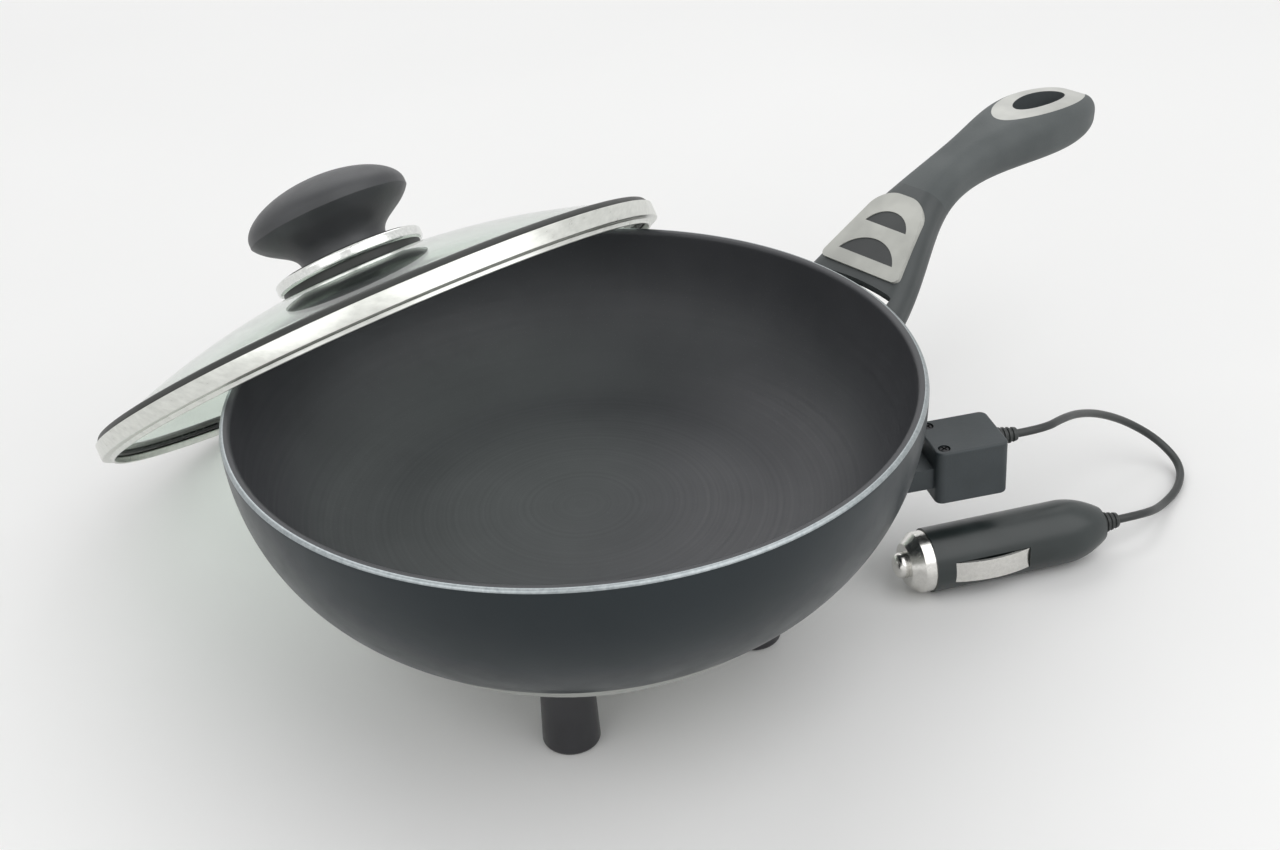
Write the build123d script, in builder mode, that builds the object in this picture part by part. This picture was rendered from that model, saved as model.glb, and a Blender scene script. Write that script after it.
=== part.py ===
from build123d import *
from math import cos, pi, radians, sin, sqrt
import os

# A twelve-volt skillet: a round bowl-like pan on four tall feet, with a heater closed into its
# base, a fixed handle, a loose glass lid that leans on the rim, a terminal box on the side, and
# a short cord to a plug for a vehicle's socket. Millimetres. The bowl's axis is the Z axis, the
# table is z = 0, the handle points along +X and the lid leans away from it on the +Y side.

os.makedirs("parts", exist_ok=True)

# ---------------------------------------------------------------- bowl
RIM_RADIUS = 100.0
RIM_HEIGHT = 89.0
RIM_WALL = 3.2
RIM_ROUND = 1.2
BOWL_DEPTH = 42.0
FLOOR_RADIUS = 56.0
FLOOR_THICKNESS = 3.5
FLOOR_CURVE = 24.0
INNER_SHOULDER = 29.0
SKIRT_RADIUS = 70.5
BASE_DEPTH = 9.5
SKIRT_WALL = 3.4
SKIRT_FLARE = (17.5, 11.5)
OUTER_SHOULDER = 25.0
CAVITY_FLARE = 5.0

# ---------------------------------------------------------------- base cover, feet and heater
COVER_SHEET = 1.2
COVER_DROP = 4.4
COVER_FLAT_RADIUS = 63.0
FOOT_COUNT = 4
FOOT_CIRCLE = 49.0
FOOT_START_ANGLE = 42.0
FOOT_TOP_RADIUS = 7.4
FOOT_SOLE_RADIUS = 8.3
FOOT_SOLE_ROUND = 1.2
FOOT_SCREW_SEAT = 14.0
FOOT_RECESS_RADIUS = 3.8
FOOT_SCREW_RADIUS = 2.0
FOOT_SCREW_HEAD_RADIUS = 3.4
FOOT_SCREW_HEAD_HEIGHT = 3.0
FOOT_SCREW_BITE = 9.0
BOSS_RADIUS = 5.0
SCREW_CLEARANCE = 0.1
ELEMENT_RING_RADIUS = 34.0
ELEMENT_RADIUS = 3.0
ELEMENT_END_ANGLE = 10.0
ELEMENT_END_REACH = 8.0
ELEMENT_PIN_RADIUS = 1.2
ELEMENT_PIN_LENGTH = 4.0
SPREADER_RADIUS = 43.0
SPREADER_HOLE_RADIUS = 14.0
SPREADER_THICKNESS = 1.5
INSULATION_RADIUS = 58.0
INSULATION_GAP = 0.4
THERMOSTAT_CIRCLE = 56.0
THERMOSTAT_ANGLE = 10.0
THERMOSTAT_RADIUS = 7.0
THERMOSTAT_HEIGHT = 6.5
THERMOSTAT_TAB = (3.0, 4.0, 0.8)

# ---------------------------------------------------------------- terminal box
BOX_ANGLE = -28.0
BOX_REACH = 107.0
BOX_LENGTH = 23.0
BOX_WIDTH = 20.0
BOX_BASE_HEIGHT = 11.5
BOX_COVER_HEIGHT = 6.5
BOX_WALL = 1.6
BOX_ROUND = 2.5
NECK_WIDTH = 14.0
NECK_HEIGHT = 7.0
NECK_REACH = 65.0
NECK_LIP = 1.6
NECK_CLEARANCE = 0.1
STRIP_OFFSET = 5.4
STRIP_LENGTH = 10.0
STRIP_WIDTH = 12.0
STRIP_HEIGHT = 12.4
STRIP_SCREW_RADIUS = 1.2
STRIP_SCREW_HEAD = (2.0, 1.2)
STRIP_SCREW_DEPTH = 4.0
BOX_SCREW_RADIUS = 1.0
BOX_SCREW_HEAD = (1.9, 1.5)
BOX_SCREW_DEPTH = 8.0
BOX_POST_RADIUS = 2.2
BOX_POST_SINK = 0.6
LEAD_RADIUS = 0.9
LEAD_OFFSET = 2.4
LEAD_BEND = 3.0

# ---------------------------------------------------------------- cord and its bushing
CORD_RADIUS = 1.3
BUSHING_OFFSET = 3.6
BUSHING_LENGTH = 8.0
BUSHING_ROOT_RADIUS = 3.4
BUSHING_TIP_RADIUS = 2.1
BUSHING_NECK_RADIUS = 2.7
BUSHING_FLANGE = (4.0, 1.8)
CORD_LEAD = 9.5
RUN_SHARE = 0.45

# ---------------------------------------------------------------- plug
PLUG_REAR = (144.4, -86.0)
PLUG_HEADING = 153.5
PLUG_RADIUS = 10.0
PLUG_SLEEVE_LENGTH = 6.0
PLUG_SLEEVE_TIP_RADIUS = 2.3
PLUG_SLEEVE_ROOT_RADIUS = 3.6
PLUG_SLEEVE_FLANGE = (4.6, 2.0)
PLUG_TAPER_LENGTH = 14.0
PLUG_TAPER_RADIUS = 5.4
PLUG_SHOULDER = 7.0
PLUG_BARREL_LENGTH = 44.0
NOSE_LENGTH = 7.0
NOSE_STEP = 0.5
NOSE_FRONT_RADIUS = 6.6
NOSE_WALL = 2.4
NOSE_SPIGOT_LENGTH = 5.0
FUSE_RADIUS = 3.15
FUSE_LENGTH = 30.0
FUSE_CAP_LENGTH = 6.0
FUSE_CLEARANCE = 0.25
TIP_PIN_RADIUS = 4.0
TIP_PIN_LENGTH = 6.0
TIP_PIN_ROUND = 2.4
TIP_COLLAR = (5.4, 1.6)
TIP_CLEARANCE = 0.08
SPRING_RADIUS = 2.8
SPRING_WIRE = 0.9
REAR_CONTACT = (4.5, 1.5)
SIDE_CONTACT_SETBACK = 6.0
SIDE_CONTACT_LENGTH = 24.0
SIDE_CONTACT_WIDTH = 7.0
SIDE_CONTACT_SHEET = 0.8
SIDE_CONTACT_BOW = 1.8
SIDE_CONTACT_EDGE = 0.8
SIDE_CONTACT_TRAVEL = 1.0
SIDE_CONTACT_CLEARANCE = 0.15

# ---------------------------------------------------------------- handle
# Places on the handle and its bracket are given as steps outwards and upwards from the rim.
HANDLE_START = (0.5, -32.3)
HANDLE_SLOPE = 36.5
HANDLE_THICKNESS = 13.0
BRACKET_SHEET = 3.2
BRACKET_HALF_ANGLE = 9.3
BRACKET_LOW = -42.0
BRACKET_TOP = -23.0
TONGUE_WIDTH = 28.0
TONGUE_THICKNESS = 4.0
TONGUE_LENGTH = 37.0
TONGUE_ROOT = (0.0, -36.0)
TONGUE_BACK = 3.0
SADDLE_DROP = 1.5
SADDLE_CLEARANCE = 0.3
YOKE_GAP_REACH = 17.2
YOKE_GAP_WIDTH = 34.0
HANDLE_SCREW_RADIUS = 2.0
HANDLE_SCREW_HEAD = (3.8, 2.4)
HANDLE_SCREW_REACH = 32.4
GRIP_SEAM = (50.0, 2.8)
GRIP_SEAM_SLOPE = 30.0
HANDLE_ROOT = (-24.0, -37.5)
HANDLE_ROOT_SLOPE = 8.0
HANDLE_ROOT_WIDTH = 51.0
SECTION_ROUND = 0.42
SECTION_STEPS = (4.0, 18.0, 39.2)
SECTION_WIDTHS = (47.0, 42.5, 32.3)
# The grip's sections: step outwards and upwards from the rim, slope, width and thickness.
GRIP_SECTIONS = (
    (52.0, 4.0, 27.0, 18.5, 13.5),
    (75.0, 9.8, 9.5, 18.0, 15.0),
    (100.0, 11.6, 2.0, 27.6, 16.5),
    (120.0, 10.7, -4.0, 24.8, 15.0),
    (129.6, 9.9, -6.5, 16.0, 11.0),
    (133.6, 9.4, -7.0, 7.0, 5.0),
)
SPINE_WIDTH = 11.0
SPINE_THICKNESS = 6.0
SPINE_LENGTH = 11.0
SPINE_ROOT = 2.0
INLAY_START = 28.2
INLAY_LENGTH = 29.0
INLAY_BASE_WIDTH = 33.0
INLAY_TOP_WIDTH = 18.6
INLAY_THICKNESS = 2.4
INLAY_PROUD = 0.5
INLAY_ROUND = 9.4
INLAY_FOOT_ROUND = 2.0
INSERT_SIZES = ((4.7, 11.3, 6.9), (16.6, 8.5, 5.7))
INSERT_PROUD = 0.3
RING_REACH = 109.0
RING_FLANGE = (21.5, 10.2)
RING_SLEEVE = (15.2, 8.0)
RING_HOLE = (12.2, 5.4)
RING_FLANGE_DEPTH = 6.0

# ---------------------------------------------------------------- lid
LID_TILT = 36.2
LID_ANGLE = 86.0
LID_GAP = 0.9
LID_BAND_SHEET = 0.8
LID_BAND_HEIGHT = 5.3
LID_SKIRT_STEP = 3.0
LID_SKIRT_DEPTH = 2.4
GLASS_RADIUS = 96.6
GLASS_THICKNESS = 4.0
GLASS_RISE = 20.0
GLASS_HOLE_RADIUS = 3.2
GLASS_SEAT = 0.5
SEAL_WIDTH = 1.8
SEAL_OVERLAP = 2.4
SEAL_TOP = 6.6
KNOB_GASKET = (24.5, 1.6)
KNOB_BASE = (26.0, 4.4)
KNOB_BASE_ROUND = 1.4
KNOB_NECK_RADIUS = 15.5
KNOB_WAIST = 2.5
KNOB_RADIUS = 28.0
KNOB_EDGE_HEIGHT = 14.5
KNOB_EDGE_ROUND = 1.6
KNOB_UNDERSIDE_PULL = (4.0, 6.5)
KNOB_SHOULDER = 7.0
KNOB_CROWN_PULL = 17.0
KNOB_HEIGHT = 28.0
KNOB_SCREW_RADIUS = 2.5
KNOB_SCREW_HEAD = (4.6, 3.2)
KNOB_SCREW_BITE = 12.0
KNOB_WASHER = (8.0, 1.5)

# ---------------------------------------------------------------- derived heights and places
floor_top = RIM_HEIGHT - BOWL_DEPTH
floor_under = floor_top - FLOOR_THICKNESS
skirt_height = floor_under - BASE_DEPTH
cover_under = skirt_height - COVER_DROP
cover_inside = cover_under + COVER_SHEET
element_height = floor_under - ELEMENT_RADIUS
spreader_top = element_height - ELEMENT_RADIUS
spreader_under = spreader_top - SPREADER_THICKNESS
neck_top = skirt_height + NECK_HEIGHT
box_floor = neck_top - BOX_BASE_HEIGHT
box_inside = box_floor + BOX_WALL
box_top = neck_top + BOX_COVER_HEIGHT
lead_height = skirt_height + NECK_HEIGHT / 2
strip_start = BOX_REACH + BOX_WALL + STRIP_OFFSET
strip_end = strip_start + STRIP_LENGTH
box_end = BOX_REACH + BOX_LENGTH


def radial(angle, radius, sideways=0.0, height=0.0):
    """A point at a radius from the bowl's axis, moved sideways from that radius."""
    turn = radians(angle)
    x = radius * cos(turn) - sideways * sin(turn)
    y = radius * sin(turn) + sideways * cos(turn)
    return (x, y, height)


def upright_plane(centre, angle=0.0):
    """A plane through a vertical axis, local x pointing outwards along the angle, local y up."""
    turn = radians(angle)
    return Plane(origin=centre, x_dir=(cos(turn), sin(turn), 0), z_dir=(sin(turn), -cos(turn), 0))


def from_rim(outwards, upwards):
    """Radius and height of a point at a step outwards and upwards from the rim."""
    return (RIM_RADIUS + outwards, RIM_HEIGHT + upwards)


def vertical_axis(centre):
    return Axis((centre[0], centre[1], 0), (0, 0, 1))


def level_plane(angle, height):
    """A level plane on the bowl's axis whose local x points along the angle."""
    turn = radians(angle)
    return Plane(origin=(0, 0, height), x_dir=(cos(turn), sin(turn), 0), z_dir=(0, 0, 1))


def save(piece, label):
    piece.part.label = label
    export_step(piece.part, f"parts/{label}.step")


def tube(points, radii, radius):
    """A round tube whose route is straight runs joined by tangent arcs."""
    start = Vector(*points[0])
    heading = Vector(*points[1]) - start
    with BuildPart() as body:
        with BuildLine():
            FilletPolyline(*points, radius=radii)
        with BuildSketch(Plane(origin=start, z_dir=heading)):
            Circle(radius)
        sweep()
    return body


# ---------------------------------------------------------------- pan body
skirt_foot = (SKIRT_RADIUS, skirt_height)
rim_outside = (RIM_RADIUS, RIM_HEIGHT)
rim_inside = (RIM_RADIUS - RIM_WALL, RIM_HEIGHT)
floor_edge = (FLOOR_RADIUS, floor_top)
cavity_foot = (SKIRT_RADIUS - SKIRT_WALL, skirt_height)
cavity_top = (SKIRT_RADIUS + CAVITY_FLARE, floor_under)
skirt_pull = (SKIRT_RADIUS + SKIRT_FLARE[0], skirt_height + SKIRT_FLARE[1])
outer_pull = (RIM_RADIUS, RIM_HEIGHT - OUTER_SHOULDER)
inner_pull = (RIM_RADIUS - RIM_WALL, RIM_HEIGHT - INNER_SHOULDER)
floor_pull = (FLOOR_RADIUS + FLOOR_CURVE, floor_top)

with BuildPart() as bowl_envelope:
    with BuildSketch(Plane.XZ):
        with BuildLine():
            Bezier(skirt_foot, skirt_pull, outer_pull, rim_outside)
            Polyline(rim_outside, (0, RIM_HEIGHT), (0, skirt_height), skirt_foot)
        make_face()
    revolve(axis=Axis.Z)

neck_gap_width = NECK_WIDTH + 2 * NECK_CLEARANCE
neck_gap_height = NECK_HEIGHT + NECK_CLEARANCE

with BuildPart() as pan_body:
    with BuildSketch(Plane.XZ):
        with BuildLine():
            Bezier(skirt_foot, skirt_pull, outer_pull, rim_outside)
            Line(rim_outside, rim_inside)
            Bezier(rim_inside, inner_pull, floor_pull, floor_edge)
            Polyline(floor_edge, (0, floor_top), (0, floor_under), cavity_top, cavity_foot, skirt_foot)
        make_face()
    revolve(axis=Axis.Z)
    fillet(pan_body.edges().group_by(Axis.Z)[-1], radius=RIM_ROUND)
    # Four bosses under the floor carry the cover and the feet.
    with BuildSketch(Plane.XY.offset(cover_inside)):
        with PolarLocations(FOOT_CIRCLE, FOOT_COUNT, start_angle=FOOT_START_ANGLE):
            Circle(BOSS_RADIUS)
    extrude(amount=floor_under - cover_inside)
    with BuildSketch(Plane.XY.offset(cover_inside)):
        with PolarLocations(FOOT_CIRCLE, FOOT_COUNT, start_angle=FOOT_START_ANGLE):
            Circle(FOOT_SCREW_RADIUS)
    extrude(amount=FOOT_SCREW_BITE, mode=Mode.SUBTRACT)
    # A notch in the skirt's lower edge lets the terminal box's neck in.
    with BuildSketch(level_plane(BOX_ANGLE, skirt_height)):
        with Locations(((NECK_REACH - NECK_LIP + RIM_RADIUS) / 2, 0)):
            Rectangle(RIM_RADIUS - NECK_REACH + NECK_LIP, neck_gap_width)
    extrude(amount=neck_gap_height, mode=Mode.SUBTRACT)
save(pan_body, "pan_body")

# ---------------------------------------------------------------- bottom cover
cover_lip = (SKIRT_RADIUS, skirt_height)
cover_corner = (SKIRT_RADIUS, cover_under)
with BuildPart() as bottom_cover:
    with BuildSketch(Plane.XZ):
        with BuildLine():
            Bezier((COVER_FLAT_RADIUS, cover_under), cover_corner, cover_lip)
            Line(cover_lip, (SKIRT_RADIUS - COVER_SHEET, skirt_height))
            Bezier(
                (SKIRT_RADIUS - COVER_SHEET, skirt_height),
                (SKIRT_RADIUS - COVER_SHEET, cover_inside),
                (COVER_FLAT_RADIUS - COVER_SHEET, cover_inside),
            )
            Polyline(
                (COVER_FLAT_RADIUS - COVER_SHEET, cover_inside),
                (0, cover_inside),
                (0, cover_under),
                (COVER_FLAT_RADIUS, cover_under),
            )
        make_face()
    revolve(axis=Axis.Z)
    with BuildSketch(Plane.XY.offset(cover_under)):
        with PolarLocations(FOOT_CIRCLE, FOOT_COUNT, start_angle=FOOT_START_ANGLE):
            Circle(FOOT_SCREW_RADIUS + SCREW_CLEARANCE)
    extrude(amount=COVER_SHEET, mode=Mode.SUBTRACT)
save(bottom_cover, "bottom_cover")

# ---------------------------------------------------------------- feet and their screws
for number in range(FOOT_COUNT):
    foot_angle = FOOT_START_ANGLE + number * 360 / FOOT_COUNT
    foot_centre = radial(foot_angle, FOOT_CIRCLE)
    with BuildPart() as foot:
        with BuildSketch(upright_plane(foot_centre)):
            with BuildLine():
                Polyline(
                    (FOOT_SOLE_RADIUS - FOOT_SOLE_ROUND, 0),
                    (FOOT_RECESS_RADIUS, 0),
                    (FOOT_RECESS_RADIUS, FOOT_SCREW_SEAT),
                    (FOOT_SCREW_RADIUS + SCREW_CLEARANCE, FOOT_SCREW_SEAT),
                    (FOOT_SCREW_RADIUS + SCREW_CLEARANCE, cover_under),
                    (FOOT_TOP_RADIUS, cover_under),
                    (FOOT_SOLE_RADIUS, FOOT_SOLE_ROUND),
                )
                RadiusArc(
                    (FOOT_SOLE_RADIUS, FOOT_SOLE_ROUND),
                    (FOOT_SOLE_RADIUS - FOOT_SOLE_ROUND, 0),
                    FOOT_SOLE_ROUND,
                )
            make_face()
        revolve(axis=vertical_axis(foot_centre))
    save(foot, f"foot_{number + 1}")

with BuildPart() as foot_screws:
    with BuildSketch(Plane.XY.offset(FOOT_SCREW_SEAT - FOOT_SCREW_HEAD_HEIGHT)):
        with PolarLocations(FOOT_CIRCLE, FOOT_COUNT, start_angle=FOOT_START_ANGLE):
            Circle(FOOT_SCREW_HEAD_RADIUS)
    extrude(amount=FOOT_SCREW_HEAD_HEIGHT)
    with BuildSketch(Plane.XY.offset(FOOT_SCREW_SEAT)):
        with PolarLocations(FOOT_CIRCLE, FOOT_COUNT, start_angle=FOOT_START_ANGLE):
            Circle(FOOT_SCREW_RADIUS)
    extrude(amount=cover_inside + FOOT_SCREW_BITE - FOOT_SCREW_SEAT)
save(foot_screws, "foot_screws")

# ---------------------------------------------------------------- heater
end_angles = (BOX_ANGLE + ELEMENT_END_ANGLE, BOX_ANGLE - ELEMENT_END_ANGLE)
element_end = ELEMENT_RING_RADIUS + ELEMENT_END_REACH
pin_end = element_end + ELEMENT_PIN_LENGTH

with BuildPart() as heating_element:
    with BuildSketch(upright_plane((0, 0, 0), end_angles[0])):
        with Locations((ELEMENT_RING_RADIUS, element_height)):
            Circle(ELEMENT_RADIUS)
    revolve(axis=Axis.Z, revolution_arc=360 - 2 * ELEMENT_END_ANGLE)
    for angle in end_angles:
        outwards = Vector(*radial(angle, 1.0))
        leg_start = radial(angle, ELEMENT_RING_RADIUS, 0, element_height)
        pin_start = radial(angle, element_end, 0, element_height)
        with BuildSketch(Plane(origin=leg_start, z_dir=outwards)):
            Circle(ELEMENT_RADIUS)
        extrude(amount=ELEMENT_END_REACH)
        with BuildSketch(Plane(origin=pin_start, z_dir=outwards)):
            Circle(ELEMENT_PIN_RADIUS)
        extrude(amount=ELEMENT_PIN_LENGTH)
save(heating_element, "heating_element")

with BuildPart() as heat_spreader:
    with BuildSketch(Plane.XY.offset(spreader_under)):
        Circle(SPREADER_RADIUS)
        Circle(SPREADER_HOLE_RADIUS, mode=Mode.SUBTRACT)
    extrude(amount=SPREADER_THICKNESS)
save(heat_spreader, "heat_spreader")

with BuildPart() as insulation_disc:
    with BuildSketch(Plane.XY.offset(cover_inside)):
        Circle(INSULATION_RADIUS)
        with PolarLocations(FOOT_CIRCLE, FOOT_COUNT, start_angle=FOOT_START_ANGLE):
            Circle(BOSS_RADIUS + INSULATION_GAP, mode=Mode.SUBTRACT)
    extrude(amount=spreader_under - cover_inside)
save(insulation_disc, "insulation_disc")

thermostat_centre = radial(THERMOSTAT_ANGLE, THERMOSTAT_CIRCLE, 0, floor_under)
tab_length, tab_width, tab_sheet = THERMOSTAT_TAB
tab_height = floor_under - THERMOSTAT_HEIGHT / 2
with BuildPart() as thermostat:
    with BuildSketch(Plane(origin=thermostat_centre)):
        Circle(THERMOSTAT_RADIUS)
    extrude(amount=-THERMOSTAT_HEIGHT)
    with BuildSketch(level_plane(THERMOSTAT_ANGLE, tab_height)):
        with Locations((THERMOSTAT_CIRCLE, -THERMOSTAT_RADIUS - tab_length / 2 + tab_sheet)):
            Rectangle(2 * tab_width, tab_length + 2 * tab_sheet)
            Rectangle(tab_sheet, tab_length + 2 * tab_sheet, mode=Mode.SUBTRACT)
    extrude(amount=tab_sheet / 2, both=True)
save(thermostat, "thermostat")

# ---------------------------------------------------------------- wiring inside the base
tab_face = -THERMOSTAT_RADIUS - tab_length
outer_tab = radial(THERMOSTAT_ANGLE, THERMOSTAT_CIRCLE + tab_width / 2, tab_face, tab_height)
inner_tab = radial(THERMOSTAT_ANGLE, THERMOSTAT_CIRCLE - tab_width / 2, tab_face, tab_height)
live_route = [
    radial(BOX_ANGLE, strip_start, LEAD_OFFSET, lead_height),
    radial(BOX_ANGLE, NECK_REACH - 2 * LEAD_BEND, LEAD_OFFSET, lead_height),
    radial(THERMOSTAT_ANGLE, THERMOSTAT_CIRCLE + tab_width / 2, 2 * tab_face, tab_height),
    outer_tab,
]
live_lead = tube(live_route, LEAD_BEND, LEAD_RADIUS)
save(live_lead, "live_lead")

return_route = [
    radial(BOX_ANGLE, strip_start, -LEAD_OFFSET, lead_height),
    radial(BOX_ANGLE, NECK_REACH - LEAD_BEND, -LEAD_OFFSET, lead_height),
    radial(end_angles[1], pin_end + 2 * LEAD_BEND, 0, element_height),
    radial(end_angles[1], pin_end, 0, element_height),
]
return_lead = tube(return_route, LEAD_BEND, LEAD_RADIUS)
save(return_lead, "return_lead")

jumper_route = [
    inner_tab,
    radial(THERMOSTAT_ANGLE, THERMOSTAT_CIRCLE - tab_width / 2, 2 * tab_face, tab_height),
    radial(end_angles[0], pin_end + 2 * LEAD_BEND, 0, element_height),
    radial(end_angles[0], pin_end, 0, element_height),
]
jumper_lead = tube(jumper_route, LEAD_BEND / 2, LEAD_RADIUS)
save(jumper_lead, "jumper_lead")

# ---------------------------------------------------------------- terminal box on the side
box_middle = BOX_REACH + BOX_LENGTH / 2
inner_length = BOX_LENGTH - 2 * BOX_WALL
inner_width = BOX_WIDTH - 2 * BOX_WALL
duct_width = NECK_WIDTH - 2 * BOX_WALL
duct_height = NECK_HEIGHT - 2 * BOX_WALL
post_inset = BOX_POST_RADIUS - BOX_POST_SINK
post_place = (BOX_REACH + BOX_WALL + post_inset, inner_width / 2 - post_inset)
bushing_start = Vector(*radial(BOX_ANGLE, box_end, BUSHING_OFFSET, neck_top))
box_outwards = Vector(*radial(BOX_ANGLE, 1.0))
flange_radius, flange_length = BUSHING_FLANGE
bushing_seat = box_end - BOX_WALL - flange_length
bushing_seat_centre = radial(BOX_ANGLE, bushing_seat, BUSHING_OFFSET, neck_top)
bushing_wall_plane = Plane(origin=bushing_seat_centre, z_dir=box_outwards)

with BuildPart() as terminal_box:
    with BuildSketch(level_plane(BOX_ANGLE, box_floor)):
        with Locations((box_middle, 0)):
            RectangleRounded(BOX_LENGTH, BOX_WIDTH, BOX_ROUND)
    extrude(amount=BOX_BASE_HEIGHT)
    fillet(terminal_box.edges().group_by(Axis.Z)[0], radius=BOX_WALL / 2)
    with BuildSketch(level_plane(BOX_ANGLE, skirt_height)):
        with Locations(((NECK_REACH + box_middle) / 2, 0)):
            Rectangle(box_middle - NECK_REACH, NECK_WIDTH)
        with Locations((NECK_REACH - NECK_LIP / 2, 0)):
            Rectangle(NECK_LIP, NECK_WIDTH)
    extrude(amount=NECK_HEIGHT)
    with BuildSketch(level_plane(BOX_ANGLE, box_inside)):
        with Locations((box_middle, 0)):
            Rectangle(inner_length, inner_width)
    extrude(amount=neck_top - box_inside, mode=Mode.SUBTRACT)
    with BuildSketch(level_plane(BOX_ANGLE, skirt_height + BOX_WALL)):
        with Locations(((NECK_REACH - NECK_LIP + box_middle) / 2, 0)):
            Rectangle(box_middle - NECK_REACH + NECK_LIP, duct_width)
    extrude(amount=duct_height, mode=Mode.SUBTRACT)
    with BuildSketch(level_plane(BOX_ANGLE, box_inside)):
        with Locations(post_place, (post_place[0], -post_place[1])):
            Circle(BOX_POST_RADIUS)
    extrude(amount=neck_top - box_inside)
    with BuildSketch(level_plane(BOX_ANGLE, neck_top)):
        with Locations(post_place, (post_place[0], -post_place[1])):
            Circle(BOX_SCREW_RADIUS)
    extrude(amount=-BOX_SCREW_DEPTH, mode=Mode.SUBTRACT)
    with BuildSketch(bushing_wall_plane):
        Circle(BUSHING_NECK_RADIUS)
    extrude(amount=flange_length + BOX_WALL, mode=Mode.SUBTRACT)
save(terminal_box, "terminal_box")

screw_head_radius, screw_head_height = BOX_SCREW_HEAD
with BuildPart() as box_cover:
    with BuildSketch(level_plane(BOX_ANGLE, neck_top)):
        with Locations((box_middle, 0)):
            RectangleRounded(BOX_LENGTH, BOX_WIDTH, BOX_ROUND)
    extrude(amount=BOX_COVER_HEIGHT)
    fillet(box_cover.edges().group_by(Axis.Z)[-1], radius=BOX_WALL / 2)
    with BuildSketch(level_plane(BOX_ANGLE, neck_top)):
        with Locations((box_middle, 0)):
            Rectangle(inner_length, inner_width)
        with Locations(post_place, (post_place[0], -post_place[1])):
            Circle(BOX_POST_RADIUS, mode=Mode.SUBTRACT)
    extrude(amount=BOX_COVER_HEIGHT - BOX_WALL, mode=Mode.SUBTRACT)
    with BuildSketch(level_plane(BOX_ANGLE, neck_top)):
        with Locations(post_place, (post_place[0], -post_place[1])):
            Circle(BOX_SCREW_RADIUS)
    extrude(amount=BOX_COVER_HEIGHT, mode=Mode.SUBTRACT)
    with BuildSketch(level_plane(BOX_ANGLE, box_top - screw_head_height)):
        with Locations(post_place, (post_place[0], -post_place[1])):
            Circle(screw_head_radius)
    extrude(amount=screw_head_height, mode=Mode.SUBTRACT)
    with BuildSketch(bushing_wall_plane):
        Circle(BUSHING_NECK_RADIUS)
    extrude(amount=flange_length + BOX_WALL, mode=Mode.SUBTRACT)
save(box_cover, "box_cover")

with BuildPart() as box_screws:
    with BuildSketch(level_plane(BOX_ANGLE, box_top - screw_head_height)):
        with Locations(post_place, (post_place[0], -post_place[1])):
            Circle(screw_head_radius)
    extrude(amount=screw_head_height)
    with BuildSketch(level_plane(BOX_ANGLE, neck_top - BOX_SCREW_DEPTH)):
        with Locations(post_place, (post_place[0], -post_place[1])):
            Circle(BOX_SCREW_RADIUS)
    extrude(amount=box_top - screw_head_height - neck_top + BOX_SCREW_DEPTH)
save(box_screws, "box_screws")

strip_top = box_inside + STRIP_HEIGHT
strip_middle = (strip_start + strip_end) / 2
strip_screw_places = [(strip_middle, STRIP_WIDTH / 4), (strip_middle, -STRIP_WIDTH / 4)]
with BuildPart() as terminal_strip:
    with BuildSketch(level_plane(BOX_ANGLE, box_inside)):
        with Locations((strip_middle, 0)):
            Rectangle(STRIP_LENGTH, STRIP_WIDTH)
    extrude(amount=STRIP_HEIGHT)
    with BuildSketch(level_plane(BOX_ANGLE, strip_top)):
        with Locations(*strip_screw_places):
            Circle(STRIP_SCREW_RADIUS)
    extrude(amount=-STRIP_SCREW_DEPTH, mode=Mode.SUBTRACT)
save(terminal_strip, "terminal_strip")

with BuildPart() as strip_screws:
    with BuildSketch(level_plane(BOX_ANGLE, strip_top)):
        with Locations(*strip_screw_places):
            Circle(STRIP_SCREW_HEAD[0])
    extrude(amount=STRIP_SCREW_HEAD[1])
    with BuildSketch(level_plane(BOX_ANGLE, strip_top)):
        with Locations(*strip_screw_places):
            Circle(STRIP_SCREW_RADIUS)
    extrude(amount=-STRIP_SCREW_DEPTH)
save(strip_screws, "strip_screws")

bushing_along = Plane(
    origin=bushing_start,
    x_dir=box_outwards,
    z_dir=box_outwards.cross(Vector(0, 0, 1)),
)
with BuildPart() as cord_bushing:
    with BuildSketch(bushing_along):
        with BuildLine():
            Polyline(
                (strip_end - box_end, 0),
                (strip_end - box_end, CORD_RADIUS),
                (-BOX_WALL - flange_length, CORD_RADIUS),
                (-BOX_WALL - flange_length, flange_radius),
                (-BOX_WALL, flange_radius),
                (-BOX_WALL, BUSHING_NECK_RADIUS),
                (0, BUSHING_NECK_RADIUS),
                (0, BUSHING_ROOT_RADIUS),
                (BUSHING_LENGTH, BUSHING_TIP_RADIUS),
                (BUSHING_LENGTH, 0),
                (strip_end - box_end, 0),
            )
        make_face()
    revolve(axis=Axis(bushing_start, box_outwards))
save(cord_bushing, "cord_bushing")

# ---------------------------------------------------------------- plug
plug_along = Vector(*radial(PLUG_HEADING, 1.0))
plug_side = Vector(*radial(PLUG_HEADING - 90, 1.0))
plug_rear = Vector(PLUG_REAR[0], PLUG_REAR[1], PLUG_RADIUS)
plug_profile = Plane(origin=plug_rear, x_dir=plug_along, z_dir=plug_side)
plug_level = Plane(origin=plug_rear, x_dir=plug_along, z_dir=(0, 0, 1))
plug_axis = Axis(plug_rear, plug_along)
shell_start = PLUG_SLEEVE_LENGTH
sleeve_seat = shell_start + BOX_WALL
taper_end = shell_start + PLUG_TAPER_LENGTH
shell_end = taper_end + PLUG_BARREL_LENGTH
nose_end = shell_end + NOSE_LENGTH
rear_contact_radius, rear_contact_length = REAR_CONTACT
collar_radius, collar_length = TIP_COLLAR
nose_inside_end = nose_end - NOSE_WALL
collar_start = nose_inside_end - collar_length
fuse_start = collar_start - FUSE_LENGTH
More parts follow.
